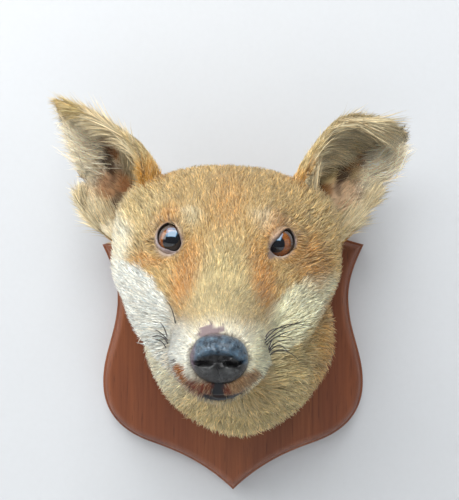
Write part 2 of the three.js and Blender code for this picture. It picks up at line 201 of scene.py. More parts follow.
def addMath(tree, operation, first, second=None, third=None):
    node = addNode(tree, "ShaderNodeMath", operation=operation)
    for socket, value in zip(node.inputs, (first, second, third)):
        if isinstance(value, (int, float)):
            socket.default_value = value
        elif value is not None:
            tree.links.new(value, socket)
    return node.outputs[0]


def addMix(tree, factor, first, second, blend="MIX"):
    node = addNode(tree, "ShaderNodeMix", data_type="RGBA", blend_type=blend)
    for socket, value in ((node.inputs[0], factor), (node.inputs[6], first), (node.inputs[7], second)):
        if isinstance(value, (int, float)):
            socket.default_value = value
        elif isinstance(value, (tuple, list, np.ndarray)):
            socket.default_value = (*[float(v) for v in value[:3]], 1)
        else:
            tree.links.new(value, socket)
    return node.outputs[2]


def addNoise(tree, vector, scale, detail=2.0, roughness=0.5):
    node = addNode(tree, "ShaderNodeTexNoise")
    node.inputs["Scale"].default_value = scale
    node.inputs["Detail"].default_value = detail
    node.inputs["Roughness"].default_value = roughness
    tree.links.new(vector, node.inputs["Vector"])
    return node.outputs["Fac"]


def addStretch(tree, vector, scale):
    node = addNode(tree, "ShaderNodeMapping")
    node.inputs["Scale"].default_value = scale
    tree.links.new(vector, node.inputs["Vector"])
    return node.outputs["Vector"]


def addRange(tree, value, low, high, newLow, newHigh):
    node = addNode(tree, "ShaderNodeMapRange")
    for key, amount in (("From Min", low), ("From Max", high), ("To Min", newLow), ("To Max", newHigh)):
        node.inputs[key].default_value = amount
    tree.links.new(value, node.inputs["Value"])
    return node.outputs["Result"]


def newMaterial(name, **constants):
    material = bpy.data.materials.new(name)
    material.use_nodes = True
    tree = material.node_tree
    shader = tree.nodes["Principled BSDF"]
    for key, value in constants.items():
        shader.inputs[key.replace("_", " ")].default_value = value
    place = tree.nodes.new("ShaderNodeTexCoord").outputs["Object"]
    return material, tree, shader, place


def finish(tree, shader, colour, roughness=None):
    tree.links.new(colour, shader.inputs["Base Color"])
    if roughness is not None:
        tree.links.new(roughness, shader.inputs["Roughness"])


def addMarking(tree):
    return addNode(tree, "ShaderNodeAttribute", attribute_name="marking").outputs


def addBump(tree, shader, height, strength, distance):
    bump = addNode(tree, "ShaderNodeBump")
    bump.inputs["Strength"].default_value = strength
    bump.inputs["Distance"].default_value = distance
    tree.links.new(height, bump.inputs["Height"])
    tree.links.new(bump.outputs["Normal"], shader.inputs["Normal"])


def makeStrandGroup():
    # strand colour: painted shade darker towards the root, where the coat shades itself, with broad patches
    # where the coat is paler
    inputs = [
        ("Place", "NodeSocketVector", None),
        ("Marking", "NodeSocketColor", None),
        ("Along", "NodeSocketFloat", 1.0),
        ("Root Shade", "NodeSocketFloat", 0.55),
        ("Patchiness", "NodeSocketFloat", 0.3),
    ]
    outputs = [("Color", "NodeSocketColor"), ("Roughness", "NodeSocketFloat")]
    group, given, out = addGroup("strandColour", inputs, outputs)
    marking, along = given.outputs["Marking"], given.outputs["Along"]
    rootShade = addMix(group, given.outputs["Root Shade"], marking, (0.4, 0.34, 0.28), "MULTIPLY")
    strand = addMix(group, addRange(group, along, 0.0, 0.6, 0, 1), rootShade, marking)
    patches = addNoise(group, given.outputs["Place"], 90, 3.0)
    patchShare = addRange(group, patches, 0.45, 0.7, 0, 1)
    paler = addMath(group, "MULTIPLY", given.outputs["Patchiness"], patchShare)
    colour = addMix(group, paler, strand, (1.32, 1.3, 1.26), "MULTIPLY")
    group.links.new(colour, out.inputs["Color"])
    group.links.new(addRange(group, patches, 0.3, 0.7, 0.62, 0.85), out.inputs["Roughness"])
    return group


strandGroup = makeStrandGroup()


def makeFurMaterial(name, rootShade, patchiness):
    gloss = {"Specular_IOR_Level": 0.28, "Sheen_Weight": 0.12, "Sheen_Roughness": 0.5}
    material, tree, shader, place = newMaterial(name, **gloss)
    marking = addMarking(tree)
    strand = addNode(tree, "ShaderNodeGroup", node_tree=strandGroup)
    strand.inputs["Root Shade"].default_value = rootShade
    strand.inputs["Patchiness"].default_value = patchiness
    tree.links.new(place, strand.inputs["Place"])
    tree.links.new(marking["Color"], strand.inputs["Marking"])
    tree.links.new(marking["Alpha"], strand.inputs["Along"])
    finish(tree, shader, strand.outputs["Color"], strand.outputs["Roughness"])
    addBump(tree, shader, addNoise(tree, place, 2600, 2.0), 0.25, 0.0003)
    return material


# ears, as the solids set them out

# base and tip in mm, bend of the middle line, and half width and fold in degrees along the length
earSettings = {
    "right": {
        "side": -1,
        "base": (-45, 35, 72), "tip": (-105, 36, 147), "faceOut": 26, "bend": (-1, 0, 3.5),
        "halfWidth": ((0, 0.17, 0.27, 0.42, 0.58, 0.75, 0.88, 1), (17, 22, 25, 25.5, 20.5, 13.5, 8, 1.6)),
        "fold": ((0, 0.17, 0.29, 0.46, 0.67, 0.83, 1), (125, 116, 102, 84, 66, 58, 50)),
    },
    "left": {
        "side": 1,
        "base": (43, 35, 73), "tip": (103, 36, 136), "faceOut": -24, "bend": (-1, 0, 9),
        "halfWidth": (
            (0, 0.17, 0.27, 0.42, 0.58, 0.75, 0.88, 0.95, 1), (17, 22, 24.5, 26, 26.5, 24.5, 18.5, 11, 4),
        ),
        "fold": ((0, 0.17, 0.29, 0.46, 0.67, 0.83, 1), (122, 114, 98, 80, 62, 54, 46)),
    },
}
earStandForward = 0.2  # of the half width: how far the cup's middle stands before its base line
earLabels = {"right": 1, "left": 2}  # marks of the skin's points, 0 off the ears


def earAxes(ear):
    base, tip = np.array(ear["base"], float), np.array(ear["tip"], float)
    length = np.linalg.norm(tip - base)
    along = (tip - base) / length
    out = math.radians(ear["faceOut"])
    facing = np.array([-math.sin(out), math.cos(out), 0])
    facing = unit(facing - along * (facing @ along))
    outward = unit(np.cross(along, facing))
    if outward[0] * ear["side"] < 0:
        outward = -outward
    return base, along, length, facing, outward


def earPlaces(places, normals, ear):
    # share of the length, share across from the inner edge (-1) to the outer (1), and whether
    # the surface there faces into the hollow
    base, along, length, facing, outward = earAxes(ear)
    offset = places - base
    share = np.clip(offset @ along / length, 0, 1)
    offset = offset - np.sin(np.pi * share)[:, None] * ear["bend"]
    half = np.interp(share, *ear["halfWidth"])
    fold = np.radians(np.interp(share, *ear["fold"]))
    out, behind = offset @ outward, half * earStandForward - offset @ facing
    across = np.arctan2(out, behind) / fold
    inside = np.sum(normals * (facing * behind[:, None] - outward * out[:, None]), axis=1) > 0
    return share, across, inside


def onEarSurface(ear, share, across):
    # head place of a spot given by its share of the ear's length and across it
    base, along, length, facing, outward = earAxes(ear)
    share, across = np.asarray(share, float), np.asarray(across, float)
    half = np.interp(share, *ear["halfWidth"])
    fold = np.radians(np.interp(share, *ear["fold"]))
    middle = half / np.sin(np.minimum(fold, math.pi / 2))
    place = base + along * (length * share)[:, None] + np.sin(np.pi * share)[:, None] * ear["bend"]
    place = place + outward * (middle * np.sin(across * fold))[:, None]
    return place + facing * (half * earStandForward - middle * np.cos(across * fold))[:, None]


# skin: one closed surface over every piece of flesh

skinSettings = {
    "nodes": ("head", "muzzle", "lower_jaw", "neck", "ear_right", "ear_left"),
    "closeGaps": 0.25,  # mm that each solid grows so that the pieces run together
    "voxel": 1.28,
    "smoothRounds": 26,
    "earRounds": 5,
    "earDepth": 0.45,  # mm that the skin of the ears lies under the solids' surface
    "lipReaches": (4.2, 2.4),  # mm from the mouth's line within which each refinement splits the mesh
}
eyeSettings = {
    "radius": 8.5, "across": 26.2, "forward": 92.5, "height": 67.2, "lookOut": 18, "lookUp": 3,
    # the opening cut for the lids, how far their edges stand from its middle every 30 degrees
    # from the outer corner up, and where the eye looks, in mm outwards and up
    "right": {"long": 16.7, "short": 13.8, "slant": 58, "gaze": (-3.4, -1.9), "pupil": 0.62, "duct": 0,
              "lids": (6.1, 7.2, 8.2, 8.2, 6.6, 5.65, 6.2, 7.2, 7.0, 5.0, 5.2, 5.7)},
    "left": {"long": 16.7, "short": 11.6, "slant": 40, "gaze": (-4.4, -1.0), "pupil": 0.5, "duct": 0.9,
             "lids": (6.6, 7.1, 8.3, 5.4, 3.5, 3.6, 4.9, 7.2, 7.6, 7.6, 7.7, 7.2)},
}
eyeSides = {"right": -1, "left": 1}
mouthSettings = {
    # line between the lips seen from the front, across and height, from corner to corner
    "line": (
        (-18.6, 18.5), (-17, 14.6), (-15.4, 11.8), (-12.4, 9.0), (-9.5, 7.2), (-6.5, 6.2), (-3.5, 5.7),
        (0, 5.5), (6, 5.9), (10, 6.9), (12.6, 8.3), (15.6, 11.4), (18.4, 15.8),
    ),
    "back": 132.0,  # forward place where it has faded out
    "grooveDepth": 1.5, "grooveWidth": 0.6,
    "lipSwell": 0.6, "lipAway": 1.8, "lipWidth": 1.0,  # swelling beside the groove
    "creaseDepth": 0.5, "creaseWidth": 0.5,  # along the lower lip
}
# bare or tinted lips: where each runs, how wide it is and its colour
lipBands = {
    "turned lip": {"line": ((-15.4, 15), (-13.8, 11.6), (-11.2, 9.4), (-8, 8.6)), "wide": 2.2,
        "colour": "ochre", "bulge": 0.9, "hairy": True},
    "inner lip": {"line": ((-9.4, 9.0), (-6.0, 8.6), (-3.0, 8.6)), "wide": 3.0, "colour": "redBrown",
        "bulge": 0.5, "hairy": True},
    "inner lip, other side": {"line": ((3.4, 8.7), (7.6, 9.1)), "wide": 2.7, "colour": "redBrown",
        "bulge": 0.4, "hairy": True},
    "lip fur, other side": {"line": ((7, 10), (10, 11.6), (13, 14.2)), "wide": 2.6, "colour": "lipFur",
        "bulge": 0.3, "hairy": True},
    "under the nose": {"line": ((0.2, 13.4), (0.4, 9), (0.6, 5.4)), "wide": 2.6, "colour": "leather"},
    "lower lip": {"line": ((-4.6, 5.0), (0, 3.8), (4, 3.8), (8, 4.9)), "wide": 1.9,
        "colour": "leather"},
    "thin lower lip": {"line": ((8, 5.2), (11, 6.4)), "wide": 0.75, "colour": "leather"},
}
noseSettings = {
    "depth": 15.0, "at": (0, 166.8, 21.0), "tilt": 14.0, "squareness": 0.82,
    "columns": 200, "rows": 130,
    # outline seen from the front, across and height, round from the fox's left over the top
    "outline": (
        (11.4, 0.6), (10.6, 3.6), (8.4, 6.8), (4.4, 8.1), (0.8, 8.7), (-1.8, 9.2), (-6.6, 7.9), (-9.3, 6.0),
        (-10.6, 3.2), (-11.3, 0.6), (-11.3, -2.2), (-10.2, -4.5), (-8.0, -7.2), (-4.5, -9.2), (0.4, -9.9),
        (5.2, -9.2), (9.0, -6.7), (11.2, -2.8),
    ),
    # slits seen from the front: middle, how wide and high, how deep, and how they slope and bend
    "nostrils": [
        {"at": (-5.7, -2.9), "reach": (3.0, 0.75), "deep": 3.4, "slope": 0.02, "bend": 0.012},
        {"at": (4.6, -2.9), "reach": (2.2, 0.8), "deep": 3.4, "slope": -0.1, "bend": 0.01},
        {"at": (8.6, -2.0), "reach": (2.0, 0.6), "deep": 1.8, "slope": 0.5, "bend": 0.1},
        {"at": (-9.6, -2.4), "reach": (1.5, 0.6), "deep": 1.4, "slope": -0.5, "bend": 0.05},
    ],
    "shelf": {"height": 0.9, "droop": 0.032, "recess": 1.3},  # lower edge of the upper lobe
    # rounded swellings on both sides, wing and lobe: middle, how wide and high, how far out
    "swellings": [((4.9, -5.0), (2.4, 1.1), 1.1), ((5.2, 4.2), (3.2, 2.6), 0.6)],
    # the ring darkens the skin round the nose with painted shade
    "seat": (11.0, 9.0, 9.0), "ring": (11.2, 9.5, 9.4),  # mm round its middle that it covers and darkens
    "bald": {"at": (-4.2, 163.5, 30.4), "reach": (5.2, 7, 4.4), "soft": 0.2, "frayed": 0.3},
}

# what the coat is like from place to place: strand length and width, depth of the coat, height
# of the tips over the skin and strands to a square mm, from the general down to the particular
coatBase = {"length": 7.5, "width": 0.5, "depth": 2.6, "lift": 2.6, "crowd": 1.3}
coatRegions = {
    "neck": patch((2, 14, 26), (75, 26, 75), coat=(14, 0.95, 5, 5, 0.42)),
    "crown": patch((0, 48, 110), (62, 30, 18), coat=(7, 0.45, 2.6, 2.4, 1.5)),
    "cheek": patch((48, 66, 30), (24, 36, 34), coat=(7.5, 0.5, 3.2, 3.2, 1.35), both=True),
    "ruff": patch((58, 40, 8), (24, 30, 34), coat=(14, 0.7, 5, 5.6, 0.85), both=True),
    "throat": patch((0, 58, -22), (62, 58, 20), coat=(10, 0.6, 4.6, 4.6, 1.05)),
    "forehead": patch((0, 90, 92), (42, 30, 26), coat=(6.4, 0.36, 1.8, 1.3, 2.8)),
    "temple": patch((49, 56, 82), (13, 18, 24), coat=(13, 0.5, 2.4, 6.4, 1.5), both=True),
    "face": patch((0, 112, 52), (40, 24, 34), coat=(4.8, 0.35, 1.3, 1.0, 3)),
    "eye surround": patch((27, 102, 66), (13, 16, 13), coat=(2.7, 0.34, 0.8, 0.8, 2.8), both=True),
    "muzzle": patch((0, 148, 20), (34, 26, 30), coat=(3.2, 0.33, 1, 1, 4)),
    "chin": patch((0, 144, -3), (30, 26, 9), coat=(5.5, 0.5, 1.5, 2.1, 1.7)),
    "nose edge": patch((0, 168, 20), (16, 10, 15), coat=(2.2, 0.28, 0.5, 0.8, 7)),
}


def coatAt(places):
    values = {key: np.full(len(places), value) for key, value in coatBase.items()}
    for row in coatRegions.values():
        mask = patchMask(places, row)
        for key, wanted in zip(coatBase, row["coat"]):
            values[key] = blend(values[key], wanted, mask)
    return values


def eyeAxes(side):
    name = "right" if side < 0 else "left"
    out, up = math.radians(eyeSettings["lookOut"]), math.radians(eyeSettings["lookUp"])
    centre = np.array([side * eyeSettings["across"], eyeSettings["forward"], eyeSettings["height"]])
    look = unit(np.array([side * math.sin(out), math.cos(out) * math.cos(up), math.sin(up)]))
    level = unit(np.array([look[1], -look[0], 0]) * side)  # points away from the nose
    upright = unit(np.array([0, 0, 1]) - look * look[2])
    return centre, look, level, upright, eyeSettings[name]


def eyeOval(places, side):
    # distance from the middle of the lids' opening, 1 at its edge, and mm along its axes
    centre, look, level, upright, opening = eyeAxes(side)
    offset = places - centre
    slant = math.radians(opening["slant"])
    out, up = offset @ level, offset @ upright
    u, w = out * math.cos(slant) + up * math.sin(slant), up * math.cos(slant) - out * math.sin(slant)
    oval = np.hypot(u / (opening["long"] / 2), w / (opening["short"] / 2))
    return oval, u, w, offset @ look


def lineDistance(places, line):
    # mm from a line drawn on the front of the muzzle; far behind it the distance is large
    spots = places[:, (0, 2)]
    nearest = np.full(len(places), 1e3)
    for start, end in zip(np.array(line[:-1], float), np.array(line[1:], float)):
        run = end - start
        share = np.clip((spots - start) @ run / (run @ run), 0, 1)
        nearest = np.minimum(nearest, np.linalg.norm(spots - start - share[:, None] * run, axis=1))
    return nearest + softStep(places[:, 1], mouthSettings["back"] + 8, mouthSettings["back"]) * 50


def bareAt(places):
    # 1 on bare skin: the lids and corners of the eyes, the lips, the bald patch and the nose's seat
    bare = softStep(lineDistance(places, mouthSettings["line"]), 0.7, 0.3)
    for side in (-1, 1):
        oval, u, w, out = eyeOval(places, side)
        bare = np.maximum(bare, softStep(oval, 1.1, 1.0) * (out > -14))
        opening = eyeAxes(side)[4]
        duct = np.hypot((u + opening["long"] / 2 + 1) / 2.6, w / 1.7)
        bare = np.maximum(bare, softStep(duct, 1.25, 0.8) * (out > -4) * opening["duct"])
    for band in lipBands.values():
        if not band.get("hairy"):
            away = lineDistance(places, band["line"])
            bare = np.maximum(bare, softStep(away, band["wide"], band["wide"] * 0.6))
    bare = np.maximum(bare, patchMask(places, noseSettings["bald"]) * 0.84)
    seat = np.linalg.norm((places - noseSettings["at"]) / noseSettings["seat"], axis=1)
    return np.maximum(bare, softStep(seat, 1.02, 0.94))


def makeSkinSurface():
    grown = bmesh.new()
    for name in skinSettings["nodes"]:
        part = bmesh.new()
        part.from_mesh(nodes[name].data)
        bmesh.ops.remove_doubles(part, verts=part.verts, dist=1e-6)
        part.normal_update()
        for vert in part.verts:
            vert.co += vert.normal * skinSettings["closeGaps"] * mm
        holder = bpy.data.meshes.new("part")
        part.to_mesh(holder)
        part.free()
        grown.from_mesh(holder)
        bpy.data.meshes.remove(holder)
    solid = bpy.data.meshes.new("fleshSolid")
    grown.to_mesh(solid)
    grown.free()
    piece = addPiece("fleshSolid", solid)
    remesh = piece.modifiers.new("Remesh", "REMESH")
    remesh.mode = "VOXEL"
    remesh.voxel_size = skinSettings["voxel"] * mm
    return bakeDown(piece)


def largestPart(mesh):
    # leaves out small closed bubbles inside the flesh
    work = bmesh.new()
    work.from_mesh(mesh)
    unseen = set(work.verts)
    best = []
    while unseen:
        start = unseen.pop()
        found, waiting = [start], [start]
        while waiting:
            vert = waiting.pop()
            for edge in vert.link_edges:
                other = edge.other_vert(vert)
                if other in unseen:
                    unseen.discard(other)
                    found.append(other)
                    waiting.append(other)
        if len(found) > len(best):
            best = found
    kept = set(best)
    bmesh.ops.delete(work, geom=[v for v in work.verts if v not in kept], context="VERTS")
    work.to_mesh(mesh)
    work.free()


def edgesOf(mesh):
    edges = np.empty(len(mesh.edges) * 2, np.int32)
    mesh.edges.foreach_get("vertices", edges)
    return edges.reshape(-1, 2)


def relax(points, edges, rounds, weight):
    # moves each point towards the middle of its neighbours; weight is per point
    count = len(points)
    degree = np.bincount(edges.ravel(), minlength=count).astype(float)
    for _ in range(rounds):
        middle = np.empty_like(points)
        for axis in range(3):
            total = np.bincount(edges[:, 0], points[edges[:, 1], axis], count)
            total += np.bincount(edges[:, 1], points[edges[:, 0], axis], count)
            middle[:, axis] = total / degree
        points = points + (middle - points) * weight[:, None]
    return points


def triangleCorners(mesh):
    mesh.calc_loop_triangles()
    corners = np.empty(len(mesh.loop_triangles) * 3, np.int32)
    mesh.loop_triangles.foreach_get("vertices", corners)
    return corners.reshape(-1, 3)


def pointNormals(points, triangles):
    a, b, c = (points[triangles[:, k]] for k in range(3))
    faceNormals = np.cross(b - a, c - a)
    normals = np.empty_like(points)
    for axis in range(3):
        total = [np.bincount(triangles[:, k], faceNormals[:, axis], len(points)) for k in range(3)]
        normals[:, axis] = sum(total)
    return unit(normals)


def onEars(points):
    # 1 where a point belongs to the right ear, 2 the left, 0 elsewhere
    trees = {}
    for name in ("ear_right", "ear_left", "head", "neck"):
        mesh = nodes[name].data
        corners = triangleCorners(mesh)
        trees[name] = BVHTree.FromPolygons([Vector(p) for p in pointsOf(mesh)], corners.tolist())
    labels = np.zeros(len(points), int)
    for index in np.nonzero(points[:, 2] > 0.055)[0]:
        place = Vector(points[index])
        ear, label = ("ear_right", 1) if place.x < 0 else ("ear_left", 2)
        away = {name: trees[name].find_nearest(place)[3] for name in (ear, "head", "neck")}
        if away[ear] < 0.004 and away[ear] < min(away["head"], away["neck"]):
            labels[index] = label
    return labels


# folds of the skin, added to what the solids have: where, how far and how much they move it, in mm
skinFolds = {
    "fold behind the whisker pad": patch((27, 122, 14), (6, 3.2, 15), move=-1.6, both=True),
    "brow crease": patch((17, 104, 77), (4, 6, 5), move=-1.1, both=True),
    "brow ridge": patch((24, 98, 79.5), (9, 7, 3.4), move=1.3, both=True),
    "bag below the eye": patch((33, 103, 55), (9, 7, 2.6), move=0.8, both=True),
    "bridge of the nose": patch((0, 150, 37), (6, 14, 5), move=0.7),
}


def shapeSkin():
    surface = makeSkinSurface()
    largestPart(surface)
    points = pointsOf(surface)
    edges = edgesOf(surface)
    ears = onEars(points)
    places = toHead(points)
    eyeDistance = np.minimum(eyeOval(places, -1)[0], eyeOval(places, 1)[0])
    forwardOfEye = places[:, 1] > eyeSettings["forward"] - 6
    nearEye = forwardOfEye & (eyeDistance < 1.5)
    onEar = (ears > 0).astype(float)[:, None].repeat(3, 1)
    earShare = relax(onEar, edges, 4, np.full(len(points), 0.8))[:, 0]
    calm = np.where(nearEye, 0.12, 0.5)
    bodyWeight = calm * (1 - softStep(earShare, 0.2, 0.7))
    points = relax(points, edges, skinSettings["smoothRounds"], bodyWeight)
    points = relax(points, edges, skinSettings["earRounds"], np.full(len(points), 0.4))
    # in by the depth of the coat, but hardly at the lids and ears
    triangles = triangleCorners(surface)
    normals = pointNormals(points, triangles)
    places = toHead(points)
    depth = coatAt(places)["depth"]
    depth = blend(depth, skinSettings["earDepth"], softStep(earShare, 0.1, 0.8))
    for side in (-1, 1):
        oval, _, _, out = eyeOval(places, side)
        depth *= np.where((out > -2) & (oval < 3), softStep(oval, 1.25, 2.1), 1)
    depth += skinSettings["closeGaps"] * 0.8
    points = points - normals * depth[:, None] * mm
    folds = np.zeros(len(points))
    for row in skinFolds.values():
        for side in (-1, 1) if row.get("both") else (1,):
            offset = places - np.array(row["at"]) * (side, 1, 1)
            away = np.linalg.norm(offset / row["reach"], axis=1)
            folds += row["move"] * np.exp(-away ** 2)
    points = points + normals * folds[:, None] * mm
    surface.vertices.foreach_set("co", points.astype(np.float32).ravel())
    surface.update()
    return surface


def refineNear(mesh, wanted, cuts=1):
    # splits the faces whose points are all wanted
    work = bmesh.new()
    work.from_mesh(mesh)
    work.verts.ensure_lookup_table()
    chosen = {face for face in work.faces if all(wanted[v.index] for v in face.verts)}
    edges = {edge for face in chosen for edge in face.edges}
    bmesh.ops.subdivide_edges(work, edges=list(edges), cuts=cuts, use_grid_fill=True)
    work.to_mesh(mesh)
    work.free()
    mesh.update()


def makeSkinMesh():
    mesh = shapeSkin()
    for reach in skinSettings["lipReaches"]:
        refineNear(mesh, lineDistance(toHead(pointsOf(mesh)), mouthSettings["line"]) < reach)
    points = pointsOf(mesh)
    triangles = triangleCorners(mesh)
    normals = pointNormals(points, triangles)
    places = toHead(points)
    away = lineDistance(places, mouthSettings["line"])
    swelling = ((away - mouthSettings["lipAway"]) / mouthSettings["lipWidth"]) ** 2
    groove = mouthSettings["lipSwell"] * np.exp(-swelling)
    groove -= mouthSettings["grooveDepth"] * np.exp(-(away / mouthSettings["grooveWidth"]) ** 2)
    for band in lipBands.values():
        if band.get("bulge"):
            groove += band["bulge"] * np.exp(-(lineDistance(places, band["line"]) / band["wide"]) ** 2)
    crease = lineDistance(places, lipBands["lower lip"]["line"])
    groove -= mouthSettings["creaseDepth"] * np.exp(-(crease / mouthSettings["creaseWidth"]) ** 2)
    points = points + normals * groove[:, None] * mm
    mesh.vertices.foreach_set("co", points.astype(np.float32).ravel())
    for polygon in mesh.polygons:
        polygon.use_smooth = True
    mesh.update()
    return mesh


# markings, shared by the skin and every strand of the coat

coatColours = {name: linear(*values) for name, values in {
    "tan": (204, 172, 112), "rust": (204, 146, 74), "golden": (198, 152, 80), "straw": (214, 192, 138),
    "buff": (218, 200, 148), "cream": (230, 222, 190), "milk": (226, 222, 202),
    "white": (222, 223, 215), "olive": (206, 184, 126), "pale": (240, 237, 204),
    "grey": (176, 162, 140), "brown": (104, 74, 50), "black": (42, 34, 30), "lip": (52, 38, 34),
    "ochre": (172, 104, 42), "redBrown": (126, 62, 40), "lipFur": (176, 138, 100),
    "leather": (26, 27, 31), "bald": (124, 108, 108), "membrane": (250, 240, 214),
    "tip": (228, 204, 154), "lock": (218, 202, 164), "yellow": (196, 142, 54), "lilac": (150, 136, 134),
    # duct and hollow are painted shade colours: the eyes' inner corners, the ring round the nose and the deep
    # of the ears
    "duct": (96, 82, 80), "window": (168, 110, 62), "hollow": (66, 40, 24), "concha": (214, 180, 146),
}.items()}
coatMarkings = {
    "back of the neck": patch((2, 6, 40), (80, 18, 80), colour="grey", strength=0.4),
    "temples": patch((-48, 76, 80), (18, 30, 22), colour="straw", strength=0.8),
    "temples, other side": patch((50, 72, 80), (14, 26, 18), colour="straw", strength=0.3),
    "throat": patch((2, 70, -26), (60, 84, 30), colour="olive", strength=0.9),
    "sides of the throat": patch((36, 66, 0), (18, 40, 18), colour="olive", strength=0.8, both=True),
    "chin": patch((0, 146, -4), (26, 36, 11), colour="straw", strength=0.8),
    "low ruff": patch((55, 44, -2), (15, 34, 22), colour="golden", strength=0.95),
    "pale side": patch((-57, 74, 60), (12, 32, 15), colour="milk", strength=0.85),
    "low ruff, other side": patch((-46, 48, 0), (16, 26, 18), colour="straw", strength=0.7),
    "white cheek": patch((-42, 94, 24), (27, 66, 36), colour="white", strength=0.97, soft=0.3,
        ragged=0.9,
        below=((-66, 58), (-60, 56.6), (-48, 53.3), (-38.7, 50.7), (-32.8, 46.6), (-28.5, 42),
            (-25, 37.7), (-19, 31))),
    "pale cheek": patch((40, 94, 24), (25, 62, 34), colour="pale", strength=0.95, soft=0.25, ragged=1.2,
        below=((17.6, 34.6), (22.5, 38.2), (26.4, 40.7), (31.4, 44.7), (36.7, 48.6), (44.8, 52.2),
            (50.8, 53), (66, 54))),
    "jaw, other side": patch((38, 92, 6), (20, 52, 24), colour="olive", strength=0.9, soft=0.4,
        ragged=1.6,
        below=((24.8, 16.4), (32, 19.6), (38.3, 26), (47.4, 37.6), (52.7, 43.5), (59.5, 48.6), (66, 50))),
    "golden side": patch((60, 66, 14), (18, 52, 38), colour="golden", strength=0.92, soft=0.5,
        ragged=1.6, below=((38.3, 26), (47.4, 37.6), (52.7, 43.5), (59.5, 48.6), (66, 60))),
    "jaw": patch((-38, 92, 4), (26, 60, 24), colour="cream", strength=0.75, soft=0.4, ragged=1.6,
        below=((-60, 28), (-36, 16), (-28, 10), (-18, 2))),
    "muzzle top": patch((0, 134, 44), (16, 38, 18), colour="buff", strength=0.9),
    "muzzle front": patch((0, 164, 20), (26, 20, 15), colour="milk", strength=0.95),
    "shade under the nose": patch((0, 168, 11), (14, 12, 5), colour="brown", strength=0.66, soft=0.6),
    "white whisker pad": patch((-18, 150, 19), (9, 22, 13), colour="white", strength=0.95, soft=0.5),
    "pale whisker pad": patch((18, 150, 19), (9, 22, 13), colour="pale", strength=0.95, soft=0.5),
    "rust down the muzzle side": patch((18, 116, 46), (5.5, 16, 13), colour="rust", strength=0.92,
        soft=0.6, both=True),
    "rust at the inner corner": patch((16, 108, 58), (7, 14, 9), colour="rust", strength=0.65, soft=0.7,
        both=True),
    "rust below the eye": patch((-35, 100, 55), (11, 12, 3.6), colour="rust", strength=0.8, soft=0.6),
    "rust side": patch((40, 92, 58), (12, 18, 14), colour="rust", strength=0.7, soft=0.6),
    "rust at the outer brow": patch((-31, 96, 80), (8, 10, 6), colour="rust", strength=0.75, soft=0.7),
    "rust at the inner brow": patch((22, 100, 76), (7, 10, 7), colour="rust", strength=0.85, soft=0.7),
    "shade in the frown": patch((27, 98, 79), (6, 8, 5), colour="redBrown", strength=0.3, soft=0.8),
    "shade at the outer corner": patch((-38, 92, 70), (4, 8, 7), colour="redBrown", strength=0.25,
        soft=0.8),
    "middle of the forehead": patch((0, 92, 88), (9, 30, 26), colour="rust", strength=0.42, soft=0.7),
    "pale brow": patch((18, 98, 78), (6, 9, 6), colour="cream", strength=0.5, soft=0.7, both=True),
    "between the eyes": patch((0, 112, 60), (9, 16, 12), colour="buff", strength=0.6, soft=0.7),
    "ear root": patch((42, 44, 100), (12, 20, 12), colour="yellow", strength=0.8, both=True),
    "bald patch": {**noseSettings["bald"], "colour": "bald"},
}


def markingsAt(places):
    colours = np.tile(coatColours["tan"], (len(places), 1))
    layers = [(patchMask(places, row), coatColours[row["colour"]]) for row in coatMarkings.values()]
    # grey skin at the eyes' edges, and painted shade in darker grey at their inner corners
    for side in (-1, 1):
        oval, u, w, out = eyeOval(places, side)
        opening = eyeAxes(side)[4]
        under = softStep(places[:, 2] - eyeSettings["height"], 2, -4)
        rim = softStep(oval, 1.3, 1.0) * (out > 0) * (0.5 + 0.3 * under)
        duct = np.hypot((u + opening["long"] / 2 + 1.4) / 3.4, w / 2.1)
        corner = softStep(duct, 1.3, 0.6) * (out > -2) * opening["duct"]
        layers += [(rim, coatColours["lilac"]), (corner, coatColours["duct"])]
    # painted shade: a dark ring round the nose's seat, where the fur meets the leather
    seat = np.linalg.norm((places - noseSettings["at"]) / noseSettings["ring"], axis=1)
    layers.append((softStep(seat, 1.14, 1.0) * 0.7, coatColours["duct"]))
    uneven = 0.35 * waveField(places, 2.6, 51), 0.4 * waveField(places, 1.1, 52)
    for band in lipBands.values():
        away = lineDistance(places, band["line"]) + uneven[0] + uneven[1]
        mask = softStep(away, band["wide"] * 1.25, band["wide"] * 0.7)
        layers.append((mask, coatColours[band["colour"]]))
    line = softStep(lineDistance(places, mouthSettings["line"]), 1.2, 0.6) * 0.85
    return paintOver(colours, layers + [(line, coatColours["lip"])])


